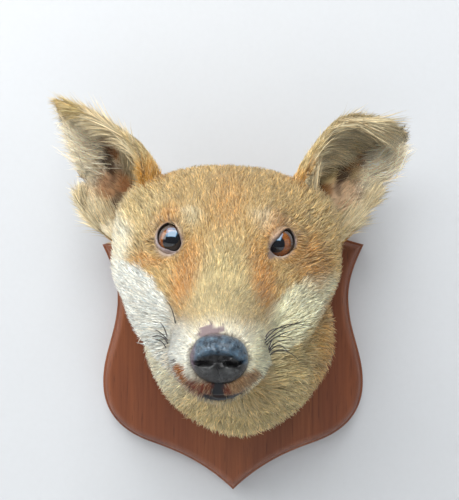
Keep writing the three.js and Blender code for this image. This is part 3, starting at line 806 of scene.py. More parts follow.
# patches of colour in the ears: middle by share of the length and across, reach in both, strength
# the hollow patches are painted shade in the deep of the cup
earPatches = {
    "right": [
        ("membrane", (0.72, 0.4), (0.3, 0.8), 0.95), ("concha", (0.36, 0.5), (0.14, 0.4), 0.4),
        ("window", (0.56, -0.2), (0.1, 0.24), 0.95), ("window", (0.42, 0.3), (0.09, 0.3), 0.75),
        ("hollow", (0.38, -0.06), (0.1, 0.24), 0.5), ("hollow", (0.26, 0.08), (0.12, 0.5), 0.8),
        ("window", (0.36, 0.12), (0.06, 0.14), 0.6), ("yellow", (0.2, -0.75), (0.12, 0.36), 0.95),
        ("lock", (0.7, -0.9), (0.3, 0.3), 0.9), ("membrane", (0.26, 0.88), (0.16, 0.3), 0.9),
        ("yellow", (0.93, -0.7), (0.07, 0.4), 0.8),
    ],
    "left": [
        ("membrane", (0.84, 0.45), (0.2, 0.6), 0.97), ("membrane", (0.62, 0.74), (0.2, 0.3), 0.85),
        ("window", (0.66, 0.12), (0.12, 0.2), 0.8), ("lock", (0.55, -0.7), (0.5, 0.5), 0.95),
        ("concha", (0.44, 0.42), (0.12, 0.3), 0.9), ("hollow", (0.28, -0.02), (0.11, 0.26), 0.97),
        ("hollow", (0.46, -0.12), (0.06, 0.16), 0.6), ("ochre", (0.37, 0.12), (0.05, 0.12), 0.6),
        ("yellow", (0.22, -0.8), (0.12, 0.4), 0.95), ("lock", (0.4, 0.97), (0.34, 0.16), 0.9),
        ("brown", (0.5, 0.7), (0.04, 0.08), 0.5), ("hollow", (0.17, -0.34), (0.1, 0.2), 0.97),
    ],
}
earStains = {"right": 0.3, "left": 0.12}  # brown specks in the upper half


def earMarkingsAt(share, across, inside, name):
    layers = []
    for colour, middle, reach, strength in earPatches[name]:
        away = np.hypot((share - middle[0]) / reach[0], (across - middle[1]) / reach[1])
        layers.append((inside * softStep(away, 1.35, 0.65) * strength, colour))
    spots = np.stack([share * 60, across * 26, 0 * share], axis=1)
    blotch = softStep(waveField(spots, 0.5, 61), -0.1, 0.5)
    # painted shade: the deep of the cup darkened, broken up by blotches
    deep = inside * softStep(np.hypot((share - 0.38) / 0.3, (across - 0.1) / 0.5), 1.2, 0.6)
    stain = inside * softStep(waveField(spots, 0.9, 62), 0.1, 0.7) * softStep(share, 0.4, 0.6)
    behind = ~inside
    edge = softStep(across, -0.8, -0.95)
    layers += [
        (deep * blotch * 0.9, "hollow"),
        (stain * earStains[name], "brown"),
        (behind * softStep(share, 0.3, 0.55) * 0.9, "brown"),
        (behind * softStep(share, 0.6, 0.85) * 0.85, "black"),
        (behind * softStep(share, 0.34, 0.2), "yellow"),
        (edge * softStep(share, 0.3, 0.4) * 0.85, "straw"),
    ]
    if name == "right":
        layers += [
            (edge * softStep(share, 0.72, 0.8) * softStep(share, 0.93, 0.87) * 0.8, "black"),
            (softStep(share, 0.9, 0.95) * 0.8, "olive"),
        ]
    colours = np.tile(coatColours["straw"], (len(share), 1))
    return paintOver(colours, [(mask, coatColours[colour]) for mask, colour in layers])


# build the skin

skinMesh = makeSkinMesh()
skinPoints = pointsOf(skinMesh)
skinTriangles = triangleCorners(skinMesh)
skinNormals = pointNormals(skinPoints, skinTriangles)
skinEars = onEars(skinPoints)
skinPlaces = toHead(skinPoints)


def whitenessOf(colours):
    return softStep(colours[:, 2] / colours[:, 0], 0.45, 0.8)


def colourAll(places, normals, ears):
    colours = markingsAt(places)
    for name, label in earLabels.items():
        chosen = ears == label
        share, across, inside = earPlaces(places[chosen], normals[chosen], earSettings[name])
        colours[chosen] = earMarkingsAt(share, across, inside, name)
    return colours


# the fourth value is painted shade: it darkens the skin between the roots, but not where it is bare
skinColours = colourAll(skinPlaces, turnToHead(skinNormals), skinEars)
skinShade = 0.18 + 0.4 * whitenessOf(skinColours) + 0.82 * bareAt(skinPlaces)
skinShade = np.where(skinEars > 0, 0.5, skinShade).clip(0, 1)
setColours(skinMesh, "marking", np.concatenate([skinColours, skinShade[:, None]], axis=1))
dress(addPiece("skin", skinMesh), makeFurMaterial("shortFur", 0.5, 0.2), skinSettings["nodes"])
print("skin:", len(skinTriangles), "triangles")


# coat: solid tapered strands rooted on the skin

coatPieces = [
    # name, slot, mesh rings on each strand, and which roots it takes
    ("coat_ear_right", "ear_fur", 2, lambda p, e: e == 1),
    ("coat_ear_left", "ear_fur", 2, lambda p, e: e == 2),
    ("coat_muzzle", "muzzle_fur", 1, lambda p, e: p[:, 1] > 119),
    ("coat_face", "head_fur", 2, lambda p, e: (p[:, 1] > 84) & (p[:, 2] > 30)),
    ("coat_crown", "head_fur", 2, lambda p, e: p[:, 2] > 62),
    ("coat_cheek_right", "head_fur", 3, lambda p, e: (p[:, 0] < 0) & (p[:, 2] > -6) & (p[:, 1] > 22)),
    ("coat_cheek_left", "head_fur", 3, lambda p, e: (p[:, 0] >= 0) & (p[:, 2] > -6) & (p[:, 1] > 22)),
    ("coat_throat", "throat_fur", 3, lambda p, e: p[:, 1] > 16),
    ("coat_neck", "throat_fur", 2, lambda p, e: np.ones(len(p), bool)),
]
coatStyle = {
    "flowFrom": (0, 166, 20),  # the coat streams away from the nose
    "sink": 0.35, "rootBack": 0.2,  # mm that a root lies in the skin and behind its spot
    "jitter": 0.07,
    "swirl": 0.24, "wave": 0.13,
    "clumpScale": 75.0,
    "rise": (1.55, -0.55),  # of the lift, with the share of the length and with its square
    "wander": 0.16, "sag": 0.004,
    "lengthSpread": 0.17,
    "shadeSpread": 0.22, "warmSpread": 0.04,
    "laneReach": 170, "laneDrift": 2.2,
    "lockShade": 0.18, "patchShade": 0.06,  # how much locks and broader patches differ in brightness
    "paleShare": 0.34, "paleMix": 0.6,  # strands with cream tips
    "darkShare": 0.24, "darkTan": (0.66, 0.61, 0.55), "darkWhite": (0.9, 0.885, 0.86),
    "roll": 25,  # degrees that a strand's ridge leans
    "thickness": 0.32,  # of the width
    "bakePatch": 0.003,
    "clear": 0.4, "plaqueFace": -0.0193,  # mm kept off the plaque, and where its face ends in metres
    "plaqueMiddle": (2.6, 0, 26),
    "across": (-111, 108),  # mm that the strands may reach to each side
    "trianglesAtMost": 198000,  # in one piece
}


def sampleRoots(thinning):
    a, b, c = (skinPoints[skinTriangles[:, k]] for k in range(3))
    areas = np.linalg.norm(np.cross(b - a, c - a), axis=1) / 2 / mm ** 2
    middles = toHead((a + b + c) / 3)
    crowd = coatAt(middles)["crowd"]
    labels = skinEars[skinTriangles[:, 0]]
    facing = unit(np.cross(b - a, c - a))
    for name, label in earLabels.items():
        chosen = labels == label
        share, across, inside = earPlaces(middles[chosen], turnToHead(facing[chosen]), earSettings[name])
        hollow = softStep(np.abs(across), 0.8, 0.3) * softStep(share, 0.55, 0.4)
        crowd[chosen] = np.where(inside, 1.9 - 1.5 * hollow, 1.1)
    bare = bareAt(middles)
    bare[(facing[:, 1] > 0.9) & (middles[:, 1] < 2)] = 1  # the flat against the plaque
    wanted = areas * crowd * (1 - bare)
    count = int(wanted.sum() * thinning)
    pick = seed.choice(len(areas), count, p=wanted / wanted.sum())
    weights = seed.dirichlet((1, 1, 1), count)
    corners = skinTriangles[pick]
    points = sum(skinPoints[corners[:, k]] * weights[:, k:k + 1] for k in range(3))
    normals = unit(sum(skinNormals[corners[:, k]] * weights[:, k:k + 1] for k in range(3)))
    return points, normals, skinEars[corners[:, 0]]


earBack = {"length": 5.0, "width": 0.42, "lift": 0.9}  # strands on the backs of the ears, in mm


def withinReach(tips):
    # shortens what sticks out too far beyond the ears' tips
    low, high = coatStyle["across"]
    return np.where((tips[:, 0] < low) | (tips[:, 0] > high), 0.6, 1)


def alongSkin(vectors, up):
    return unit(vectors - up * np.sum(vectors * up, axis=1, keepdims=True))


def flowAt(places):
    # which way the coat streams off the ears
    flow = unit(places - coatStyle["flowFrom"])
    # it droops on the ruff, stands up towards the ears and parts round the eyes
    droop = softStep(places[:, 1], 90, 40) * softStep(places[:, 2], 60, 0)
    flow = flow + droop[:, None] * np.array([0, 0, -0.35])
    for side in (-1, 1):
        temple = patchMask(places, patch((side * 49, 56, 82), (14, 22, 26), soft=0.5))
        flow = flow + temple[:, None] * np.array([side * 0.9, 0, 0.8])
        oval, _, _, out = eyeOval(places, side)
        centre, look = eyeAxes(side)[:2]
        offset = places - centre
        radial = unit(offset - look * (offset @ look)[:, None])
        near = softStep(oval, 2.1, 1.15) * (out > -8)
        flow = flow * (1 - 0.8 * near)[:, None] + radial * (0.8 * near)[:, None]
    return flow


def layEarCoat(places, up, ear, ripple):
    # direction, length, width and height of the strands on one ear
    share, across, inside = earPlaces(places, up, ear)
    _, along, _, facing, outward = earAxes(ear)
    innerEdge = softStep(across, -0.2, -0.75) * inside
    outerEdge = softStep(across, 0.4, 0.85)
    sideways = outward * (0.75 * innerEdge + 0.1 * outerEdge)[:, None]
    sweep = along * 0.8 + sideways + facing * 0.35 * innerEdge[:, None]
    fuzzy = softStep(share, 0.45, 0.65) * inside * (1 - innerEdge)
    stray = seed.normal(size=(len(share), 3)) * (0.12 + 0.5 * fuzzy)[:, None]
    length = 3.6 + 8.0 * innerEdge + 1.2 * outerEdge + 1.6 * fuzzy
    return (
        unit(sweep) + ripple + stray,
        np.where(inside, length, earBack["length"]),
        np.where(inside, 0.26 + 0.1 * innerEdge, earBack["width"]),
        np.where(inside, 0.6 + 1.6 * innerEdge + 0.9 * fuzzy, earBack["lift"]),
    )


def layCoat(points, normals, ears):
    # direction, length, width and height of each strand, with vectors in head axes
    places = toHead(points)
    up = turnToHead(normals)
    values = coatAt(places)
    scale = coatStyle["clumpScale"]
    swirl = np.stack([waveField(places, scale / 1000, k) for k in (11, 12, 13)], axis=1)
    fine = np.stack([waveField(places, scale / 150, k) for k in (21, 22, 23)], axis=1)
    flow = flowAt(places) + coatStyle["swirl"] * swirl + coatStyle["wave"] * fine
    flow = flow + seed.normal(size=flow.shape) * coatStyle["jitter"]
    length, width, height = (values[key].copy() for key in ("length", "width", "lift"))
    ripple = 0.2 * fine + 0.2 * swirl
    for name, label in earLabels.items():
        chosen = ears == label
        laid = layEarCoat(places[chosen], up[chosen], earSettings[name], ripple[chosen])
        for column, wanted in zip((flow, length, width, height), laid):
            column[chosen] = wanted
    lie = alongSkin(flow, up)
    length *= np.exp(seed.normal(size=len(length)) * coatStyle["lengthSpread"])
    for _ in range(3):  # no strand lies over bare skin
        length *= np.where((bareAt(places + lie * length[:, None]) > 0.35) & (ears == 0), 0.62, 1)
        length *= withinReach(places + lie * length[:, None])
    height *= seed.uniform(0.45, 1.3, len(height))
    width *= seed.uniform(0.7, 1.3, len(width))
    height = np.minimum(height, length * 0.5)
    return places, up, lie, length, width, height


def bakePlaces(places, normals, ears):
    # unwrap of the skin's own shape: round and along the head, and each ear flat
    forward = places[:, 1]
    middleHeight = np.interp(forward, (0, 60, 120, 170), (30, 42, 28, 18))
    around = np.arctan2(places[:, 0], places[:, 2] - middleHeight) / (2 * np.pi) + 0.5
    radial = np.hypot(places[:, 0], places[:, 2] - middleHeight)
    down = (175 - forward + 0.8 * radial) / 260
    uv = np.stack([0.01 + 0.97 * around, 0.01 + 0.66 * np.clip(down, 0, 1)], axis=1)
    for name, label in earLabels.items():
        chosen = ears == label
        share, across, inside = earPlaces(places[chosen], normals[chosen], earSettings[name])
        island = (label - 1) * 2 + inside
        uv[chosen, 0] = 0.01 + 0.25 * island + 0.22 * (0.5 + 0.5 * np.clip(across, -1.2, 1.2) / 1.2)
        uv[chosen, 1] = 0.71 + 0.27 * share
    return uv


strandRings = {1: (0.0,), 2: (0.0, 0.5), 3: (0.0, 0.36, 0.7)}
ringWidths = {0.0: 0.5, 0.5: 0.42, 0.36: 0.5, 0.7: 0.32}


def strandPoints(places, up, lie, length, width, height, rings):
    # three points round each ring of a strand and one at its tip, and how far along each ring is
    side = unit(np.cross(lie, up))  # mirrored axes swap its sign, which the ring order allows for
    roll = np.radians(seed.normal(size=len(places)) * coatStyle["roll"])[:, None]
    ridge, flat = up * np.cos(roll) + side * np.sin(roll), side * np.cos(roll) - up * np.sin(roll)
    wander = side * seed.normal(size=len(places))[:, None] * coatStyle["wander"]
    sag = np.array([0, 0, coatStyle["sag"]]) * length[:, None]
    steady, curl = coatStyle["rise"]
    columns = []
    for share in (*strandRings[rings], 1.0):
        rise = steady * share + curl * share ** 2
        centre = places + lie * (share * length)[:, None] + up * (height * rise)[:, None]
        centre = centre + (wander - sag) * (share ** 2 * length)[:, None]
        if share == 0:
            centre = centre - up * coatStyle["sink"] - lie * coatStyle["rootBack"]
        if share == 1:
            columns.append(centre)
            break
        half = (width * ringWidths[share])[:, None]
        columns += [centre - flat * half, centre + flat * half]
        columns.append(centre + ridge * half * 2 * coatStyle["thickness"])
    return np.stack(columns, axis=1)


def keepClear(points):
    # keep off the plaque's face: what would pass it slides outwards along it
    under = np.maximum(coatStyle["clear"] - points[:, 1], 0)
    outward = unit(points * (1, 0, 1) - coatStyle["plaqueMiddle"])
    points = points + outward * (under * 0.6)[:, None]
    points[:, 1] = np.maximum(points[:, 1], coatStyle["clear"])
    low, high = coatStyle["across"]
    points[:, 0] = np.clip(points[:, 0], low - 3, high + 3)
    world = toWorld(points)
    world[:, 1] = np.minimum(world[:, 1], coatStyle["plaqueFace"])
    return world


def strandFaces(rings, tip):
    # closed at the root, three faces round each ring and three at the tip
    faces = [(0, 2, 1)]
    for n in range(0, 3 * (rings - 1), 3):
        faces += [(n + a, n + 3 + a, n + 3 + b, n + b) for a, b in ((0, 2), (2, 1), (1, 0))]
    n = 3 * (rings - 1)
    faces += [(n, tip, n + 2), (n + 2, tip, n + 1), (n + 1, tip, n)]
    return [face[::-1] for face in faces]


def growStrands(name, places, up, lie, length, width, height, colours, uv, rings):
    strand = strandPoints(places, up, lie, length, width, height, rings)
    count, perStrand = strand.shape[:2]
    tip = perStrand - 1
    faces = strandFaces(rings, tip)
    pattern = np.concatenate([np.array(face) for face in faces])
    corners = (np.arange(count)[:, None] * perStrand + pattern).ravel()
    sizes = np.tile([len(face) for face in faces], count)
    piece = meshFromArrays(name, keepClear(strand.reshape(-1, 3)), corners, sizes)
    alongs = (*strandRings[rings], 1.0)
    ringAlong = np.array([alongs[k // 3] for k in range(perStrand)])
    ringAcross = np.array([(-1, 1, 0)[k % 3] if k < tip else 0 for k in range(perStrand)]) / 2
    rgba = np.ones((count, perStrand, 4))
    rgba[:, :, :3] = colours[:, None, :]
    # the fourth value, how far along, sets the painted root shade; white strands get less of it
    rgba[:, :, 3] = ringAlong + (1 - ringAlong) * 0.5 * whitenessOf(colours)[:, None]
    setColours(piece.data, "marking", rgba.reshape(-1, 4))
    layer = piece.data.uv_layers.new(name="OFBake")
    patchSize = coatStyle["bakePatch"]
    spots = uv[:, None, :] + np.stack([ringAcross * patchSize, (ringAlong - 0.5) * patchSize], axis=1)[None]
    layer.data.foreach_set("uv", spots.reshape(-1, 2)[corners].astype(np.float32).ravel())
    return piece


furMaterials = {
    "head_fur": makeFurMaterial("headFur", 0.5, 0.25),
    "muzzle_fur": makeFurMaterial("muzzleFur", 0.5, 0.25),
    "throat_fur": makeFurMaterial("throatFur", 0.65, 0.3),
    "ear_fur": makeFurMaterial("earFur", 0.5, 0.2),
}


def shadeStrands(places, colours):
    # flecks, locks and broader patches of lighter and darker hair
    total = len(places)
    fleck = seed.random(total)[:, None]
    pale = np.where(fleck < coatStyle["paleShare"], seed.uniform(0.25, coatStyle["paleMix"], (total, 1)), 0)
    dark = np.where(fleck > 1 - coatStyle["darkShare"], seed.uniform(0.5, 1, (total, 1)), 0)
    whiteness = whitenessOf(colours)[:, None]
    tip = blend(coatColours["tip"], coatColours["milk"], whiteness)
    colours = blend(colours, np.maximum(tip, colours * 1.15), pale)
    darkTint = blend(np.array(coatStyle["darkTan"]), np.array(coatStyle["darkWhite"]), whiteness)
    colours = colours * (1 - dark * (1 - darkTint))
    spread = np.exp(seed.normal(size=total) * coatStyle["shadeSpread"])
    # streaks run the way the coat lies
    lanes = unit(places - coatStyle["flowFrom"]) * coatStyle["laneReach"] + places * 0.12
    lanes = lanes + coatStyle["laneDrift"] * waveField(places, 0.16, 33)[:, None]
    locks = coatStyle["lockShade"] * waveField(lanes, 0.9, 31)
    spread *= 1 + locks + coatStyle["patchShade"] * waveField(places, 0.6, 32)
    warm = seed.normal(size=total) * coatStyle["warmSpread"]
    return colours * spread[:, None] * np.stack([1 + warm, np.ones(total), 1 - warm], axis=1)


def growPiece(name, slot, rings, data):
    most = coatStyle["trianglesAtMost"] // (6 * rings - 2)
    if len(data[0]) > most:
        print("  ", name, "thinned from", len(data[0]), "to", most)
        data = [values[:most] for values in data]
    piece = growStrands(name, *data, rings)
    dress(piece, furMaterials[slot])
    print("  ", name, len(data[0]), "strands")


def growCoat(thinning):
    points, normals, ears = sampleRoots(thinning)
    places, up, lie, length, width, height = layCoat(points, normals, ears)
    colours = shadeStrands(places, colourAll(places, up, ears))
    uv = bakePlaces(places, up, ears)
    left = np.ones(len(places), bool)
    for name, slot, rings, takes in coatPieces:
        chosen = np.nonzero(left & takes(places, ears))[0]
        left[chosen] = False
        data = (places, up, lie, length, width, height, colours, uv)
        growPiece(name, slot, rings, [values[chosen] for values in data])


# long locks on the ears: from and to by share of the length and across, spread of both, half the
# number of strands, colour and how far the longest arch up in mm
earLocks = {
    "right": [
        ((0.64, -0.86), (0.5, -0.4), (0.06, 0.1), 260, "lock", 3),
        ((0.55, -0.6), (0.38, -0.2), (0.05, 0.1), 240, "lock", 3),
        ((0.44, -0.42), (0.2, -0.14), (0.04, 0.1), 240, "lock", 3),
        ((0.5, -0.95), (0.82, -0.85), (0.06, 0.1), 420, "lock", 2),
        ((0.7, -0.92), (0.95, -0.8), (0.07, 0.1), 260, "olive", 1.5),
        ((0.14, -0.85), (0.32, -0.85), (0.06, 0.12), 420, "yellow", 2),
        ((0.12, -0.6), (0.28, -0.95), (0.05, 0.14), 200, "yellow", 2.4),
        ((0.66, -0.9), (0.84, -0.88), (0.05, 0.08), 160, "brown", 1.6),
        ((0.34, -0.9), (0.6, -0.85), (0.07, 0.12), 420, "lock", 2),
        ((0.14, 0.7), (0.35, 0.8), (0.06, 0.2), 420, "lock", 2),
        ((0.3, 0.85), (0.46, 0.95), (0.05, 0.1), 200, "lock", 1.5),
        ((0.6, 0.3), (0.78, 0.8), (0.1, 0.3), 300, "membrane", 2),
    ],
    "left": [
        ((0.2, -0.95), (0.42, -0.55), (0.05, 0.16), 460, "lock", 3),
        ((0.34, -0.8), (0.6, -0.6), (0.06, 0.18), 560, "lock", 3.4),
        ((0.5, -0.8), (0.8, -0.66), (0.07, 0.18), 560, "lock", 3),
        ((0.68, -0.85), (0.97, -0.66), (0.07, 0.14), 420, "lock", 2),
        ((0.44, -0.55), (0.66, -0.1), (0.07, 0.14), 420, "lock", 2.6),
        ((0.6, -0.5), (0.84, -0.2), (0.07, 0.14), 420, "lock", 2.4),
        ((0.3, -0.45), (0.55, -0.25), (0.05, 0.12), 200, "lock", 2.4),
        ((0.5, -0.4), (0.76, -0.3), (0.06, 0.14), 240, "straw", 2.4),
        ((0.16, 0.6), (0.4, 0.82), (0.07, 0.14), 360, "lock", 1.5),
        ((0.36, 0.7), (0.6, 0.86), (0.07, 0.1), 240, "lock", 1.2),
        ((0.7, 0.5), (0.95, 0.9), (0.1, 0.3), 300, "membrane", 2),
    ],
}


def growEarLocks():
    for name, label in earLabels.items():
        ear = earSettings[name]
        facing = earAxes(ear)[3]
        starts, ends, arches, tints = [], [], [], []
        for start, end, spread, many, colour, arch in earLocks[name]:
            count = many * 2 // 1
            drift = seed.normal(size=(count, 2)) * spread * 0.6
            fan = drift + seed.normal(size=(count, 2)) * spread * 0.35
            starts.append(onEarSurface(ear, *(np.array(start) + drift).T))
            tips = onEarSurface(ear, *(np.array(end) + fan).T)
            ends.append(tips + facing * seed.uniform(0.8, 2.4, (count, 1)))
            arches.append(np.full(count, arch, float))
            tints.append(np.tile(coatColours[colour], (count, 1)))
        starts, ends, arches, tints = (np.concatenate(rows) for rows in (starts, ends, arches, tints))
        run = ends - starts
        length = np.linalg.norm(run, axis=1)
        lie = unit(run)
        up = unit(facing - lie * (lie @ facing)[:, None])
        places = starts + up * 0.5
        colours = shadeStrands(places, tints)
        uv = bakePlaces(places, up, np.full(len(places), label))
        reach = length * seed.uniform(0.75, 1.1, len(length))
        for _ in range(3):
            reach = reach * withinReach(places + lie * reach[:, None])
        width = seed.uniform(0.34, 0.6, len(length))
        lift = arches * seed.uniform(0.2, 0.9, len(length))
        growPiece(f"locks_ear_{name}", "ear_fur", 3, [places, up, lie, reach, width, lift, colours, uv])


growCoat(1)
growEarLocks()
print("coat grown")


# eyes

eyeLook = {"columns": 72, "rows": 48}
lidLook = {
    "steps": 96,
    # closed section of the lids: share of the way out and distance from the middle of the eye
    "section": (
        (0.0, 8.62), (0.0, 8.85), (0.04, 9.1), (0.14, 9.34), (0.3, 9.62), (0.55, 9.88), (0.8, 9.94),
        (1.0, 9.7), (1.0, 9.3), (0.5, 8.85), (0.12, 8.62),
    ),
    "widest": 1.16,  # of the opening in the solids
    "bareShare": 0.46,  # how far out the lids are bare
    "hairs": {"count": 1500, "length": 1.9, "width": 0.3, "lift": 0.45},
}


def closeNormals(piece):
    work = bmesh.new()
    work.from_mesh(piece.data)
    bmesh.ops.recalc_face_normals(work, faces=work.faces)
    work.to_mesh(piece.data)
    work.free()
    return piece


def ballFaces(columns, rows):
    # corners of a ball with a point at each end and rows - 1 rings between them
    faces = [(0, 1 + k, 1 + (k + 1) % columns) for k in range(columns)]
    for r in range(rows - 2):
        n = 1 + r * columns
        faces += [(n + k, n + columns + k, n + columns + (k + 1) % columns, n + (k + 1) % columns)
                  for k in range(columns)]
    n = 1 + (rows - 2) * columns
    faces += [(n + k, n + columns, n + (k + 1) % columns) for k in range(columns)]
    return faces


def meshFromFaces(name, places, faces):
    corners = [index for face in faces for index in face]
    return closeNormals(meshFromArrays(name, toWorld(places), corners, [len(face) for face in faces]))


def makeEye(name, side):
    centre, look, level, upright, opening = eyeAxes(side)
    radius = eyeSettings["radius"]
    gazeOut, gazeUp = opening["gaze"]
    gaze = unit(look * radius + level * gazeOut + upright * gazeUp)
    across = unit(level - gaze * (level @ gaze))
    above = unit(upright - gaze * (upright @ gaze) - across * (upright @ across))
    columns, rows = eyeLook["columns"], eyeLook["rows"]
    polar = np.linspace(0, math.pi, rows + 1)[1:-1, None]
    turnBy = np.linspace(0, 2 * math.pi, columns, endpoint=False)[None]
    ringSpots = np.sin(polar) * np.cos(turnBy), np.sin(polar) * np.sin(turnBy)
    rings = np.stack([*ringSpots, np.cos(polar) + 0 * turnBy], axis=-1)
    local = np.concatenate([[(0, 0, 1)], rings.reshape(-1, 3), [(0, 0, -1)]])
    places = centre + radius * (local[:, :1] * across + local[:, 1:2] * above + local[:, 2:] * gaze)
    piece = meshFromFaces(name, places, ballFaces(columns, rows))
    layer = piece.data.attributes.new("eyePlace", "FLOAT_VECTOR", "POINT")
    layer.data.foreach_set("vector", local.astype(np.float32).ravel())
    return piece


def makeEyeMaterial(name, pupilSize):
    gloss = {"Roughness": 0.03, "Coat_Weight": 1.0, "Coat_Roughness": 0.01, "IOR": 1.45, "Coat_IOR": 1.45}
    material, tree, shader, _ = newMaterial(name, **gloss)
    spot = addNode(tree, "ShaderNodeAttribute", attribute_name="eyePlace").outputs["Vector"]
    parts = addNode(tree, "ShaderNodeSeparateXYZ")
    tree.links.new(spot, parts.inputs[0])
    x, y = parts.outputs["X"], parts.outputs["Y"]
    square = addMath(tree, "ADD", addMath(tree, "MULTIPLY", x, x), addMath(tree, "MULTIPLY", y, y))
    away = addMath(tree, "SQRT", square)
    combined = addNode(tree, "ShaderNodeCombineXYZ")
    tree.links.new(addMath(tree, "MULTIPLY", addMath(tree, "ARCTAN2", y, x), 3.0), combined.inputs[0])
    tree.links.new(away, combined.inputs[1])
    streaks = addNoise(tree, combined.outputs[0], 6.0, 4.0, 0.65)
    iris = addMix(tree, addRange(tree, streaks, 0.35, 0.7, 0, 1), linear(84, 36, 10), linear(144, 76, 20))
    # painted shade: the iris darkens towards the nose side
    inner = addMix(tree, addRange(tree, x, 0.35, -0.25, 0, 0.85), iris, linear(30, 16, 10))
    iris = addMix(tree, addRange(tree, away, 0.74, 0.9, 0, 1), inner, linear(22, 12, 8))
    pupil = addRange(tree, away, pupilSize - 0.03, pupilSize + 0.03, 1, 0)
    colour = addMix(tree, pupil, iris, (0.003, 0.003, 0.004))
    finish(tree, shader, colour)
    addBump(tree, shader, streaks, 0.03, 0.0002)
    return material


def lidReaches(side):
    # how far the lids' inner and outer edges stand from the middle of the eye, all the way round
    opening = eyeAxes(side)[4]
    angles = np.linspace(0, 2 * math.pi, lidLook["steps"], endpoint=False)
    marks = np.radians(np.arange(-60, 450, 30))
    reaches = np.array(opening["lids"])
    inner = np.interp(angles, marks, np.concatenate([reaches[-2:], reaches, reaches[:3]]))
    for _ in range(6):  # rounds off the straight runs between the marks
        inner = inner * 0.5 + (np.roll(inner, 1) + np.roll(inner, -1)) * 0.25
    turned = angles - math.radians(opening["slant"])
    oval = 1 / np.hypot(np.cos(turned) / (opening["long"] / 2), np.sin(turned) / (opening["short"] / 2))
    return angles, inner, np.maximum(oval * lidLook["widest"], inner + 1.6)


def lidPlaces(side, angles, reach, distance):
    centre, look, level, upright = eyeAxes(side)[:4]
    reach = np.minimum(reach, distance * 0.975)
    ring = (np.cos(angles) * reach)[:, None] * level + (np.sin(angles) * reach)[:, None] * upright
    return centre + ring + np.sqrt(distance ** 2 - reach ** 2)[:, None] * look


def makeLids(name, side):
    # margins of both lids, bare at their edge on the eye and running in under the furred skin
    angles, inner, outer = lidReaches(side)
    section = lidLook["section"]
    wide = outer - inner
    places = [lidPlaces(side, angles, inner + wide * share, distance) for share, distance in section]
    shares = np.repeat([share for share, distance in section], len(angles))
    places = np.concatenate(places)
    steps, rows = len(angles), len(section)
    faces = []
    for r in range(rows):
        n, m = r * steps, ((r + 1) % rows) * steps
        faces += [(n + k, m + k, m + (k + 1) % steps, n + (k + 1) % steps) for k in range(steps)]
    piece = meshFromFaces(name, places, faces)
    centre, _, _, upright, _ = eyeAxes(side)
    under = softStep((places - centre) @ upright, 5, -1)
    bareTint = blend(coatColours["brown"], coatColours["lilac"], under[:, None])
    colours = paintOver(markingsAt(places), [
        (softStep(shares, 0.6, 0.4) * 0.9, bareTint),
        (softStep(shares, 0.2, 0.06) * (1 - 0.7 * under), coatColours["black"]),
    ])
    setColours(piece.data, "marking", np.concatenate([colours, np.ones((len(places), 1))], axis=1))
    return piece


def growLidHairs(name, side):
    # short hairs over the outer part of the lids, pointing away from the eye
    hairs = lidLook["hairs"]
    angles, inner, outer = lidReaches(side)
    centre, look = eyeAxes(side)[:2]
    pick = seed.integers(0, len(angles), hairs["count"])
    turnBy = angles[pick] + seed.uniform(0, 2 * math.pi / lidLook["steps"], len(pick))
    share = lidLook["bareShare"] + (1.05 - lidLook["bareShare"]) * np.sqrt(seed.random(len(pick)))
    distance = np.interp(share, *np.array(lidLook["section"][4:8]).T)
    places = lidPlaces(side, turnBy, inner[pick] + (outer - inner)[pick] * share, distance)
    up = unit(places - centre)
    away = places - centre
    away = unit(away - look * (away @ look)[:, None])
    stream = unit(places - coatStyle["flowFrom"])
    lie = away + 0.7 * stream + seed.normal(size=away.shape) * 0.16
    lie = alongSkin(lie, up)
    count = len(pick)
    length = hairs["length"] * seed.uniform(0.6, 1.2, count)
    colours = shadeStrands(places, markingsAt(places))
    uv = bakePlaces(places, up, np.zeros(count))
    width = hairs["width"] * seed.uniform(0.7, 1.2, count)
    lift = hairs["lift"] * seed.uniform(0.4, 1.2, count)
    growPiece(name, "head_fur", 1, [places, up, lie, length, width, lift, colours, uv])


def makeLidMaterial():
    material, tree, shader, place = newMaterial("lidSkin", Specular_IOR_Level=0.5)
    marking = addMarking(tree)["Color"]
    mottle = addNoise(tree, place, 900, 3.0, 0.6)
    colour = addMix(tree, addRange(tree, mottle, 0.35, 0.6, 0.75, 0), marking, (0.35, 0.3, 0.3), "MULTIPLY")
    finish(tree, shader, colour, addRange(tree, mottle, 0.3, 0.7, 0.32, 0.55))
    addBump(tree, shader, mottle, 0.5, 0.0004)
    return material


lidMaterial = makeLidMaterial()
eyePieces = []
for eyeName, eyeSide in eyeSides.items():
    eyePieces.append(makeEye(f"glass_eye_{eyeName}", eyeSide))
    eyeMaterial = makeEyeMaterial(f"eyeGlass_{eyeName}", eyeSettings[eyeName]["pupil"])
    dress(eyePieces[-1], eyeMaterial, [f"eye_{eyeName}"])
    dress(makeLids(f"lids_{eyeName}", eyeSide), lidMaterial)
    growLidHairs(f"lashes_{eyeName}", eyeSide)
print("eyes set")


# nose leather


def noseReach(azimuth):
    # smooth outline through the points it is given by
    spots = np.array(noseSettings["outline"])
    around = np.arctan2(spots[:, 1], spots[:, 0]) % (2 * math.pi)
    order = np.argsort(around)
    around, reach = around[order], np.hypot(*spots[order].T)
    around = np.concatenate([around - 2 * math.pi, around, around + 2 * math.pi])
    reach = np.tile(reach, 3)
    shifts = np.linspace(-0.16, 0.16, 9)
    return sum(np.interp(azimuth % (2 * math.pi) + shift, around, reach) for shift in shifts) / 9


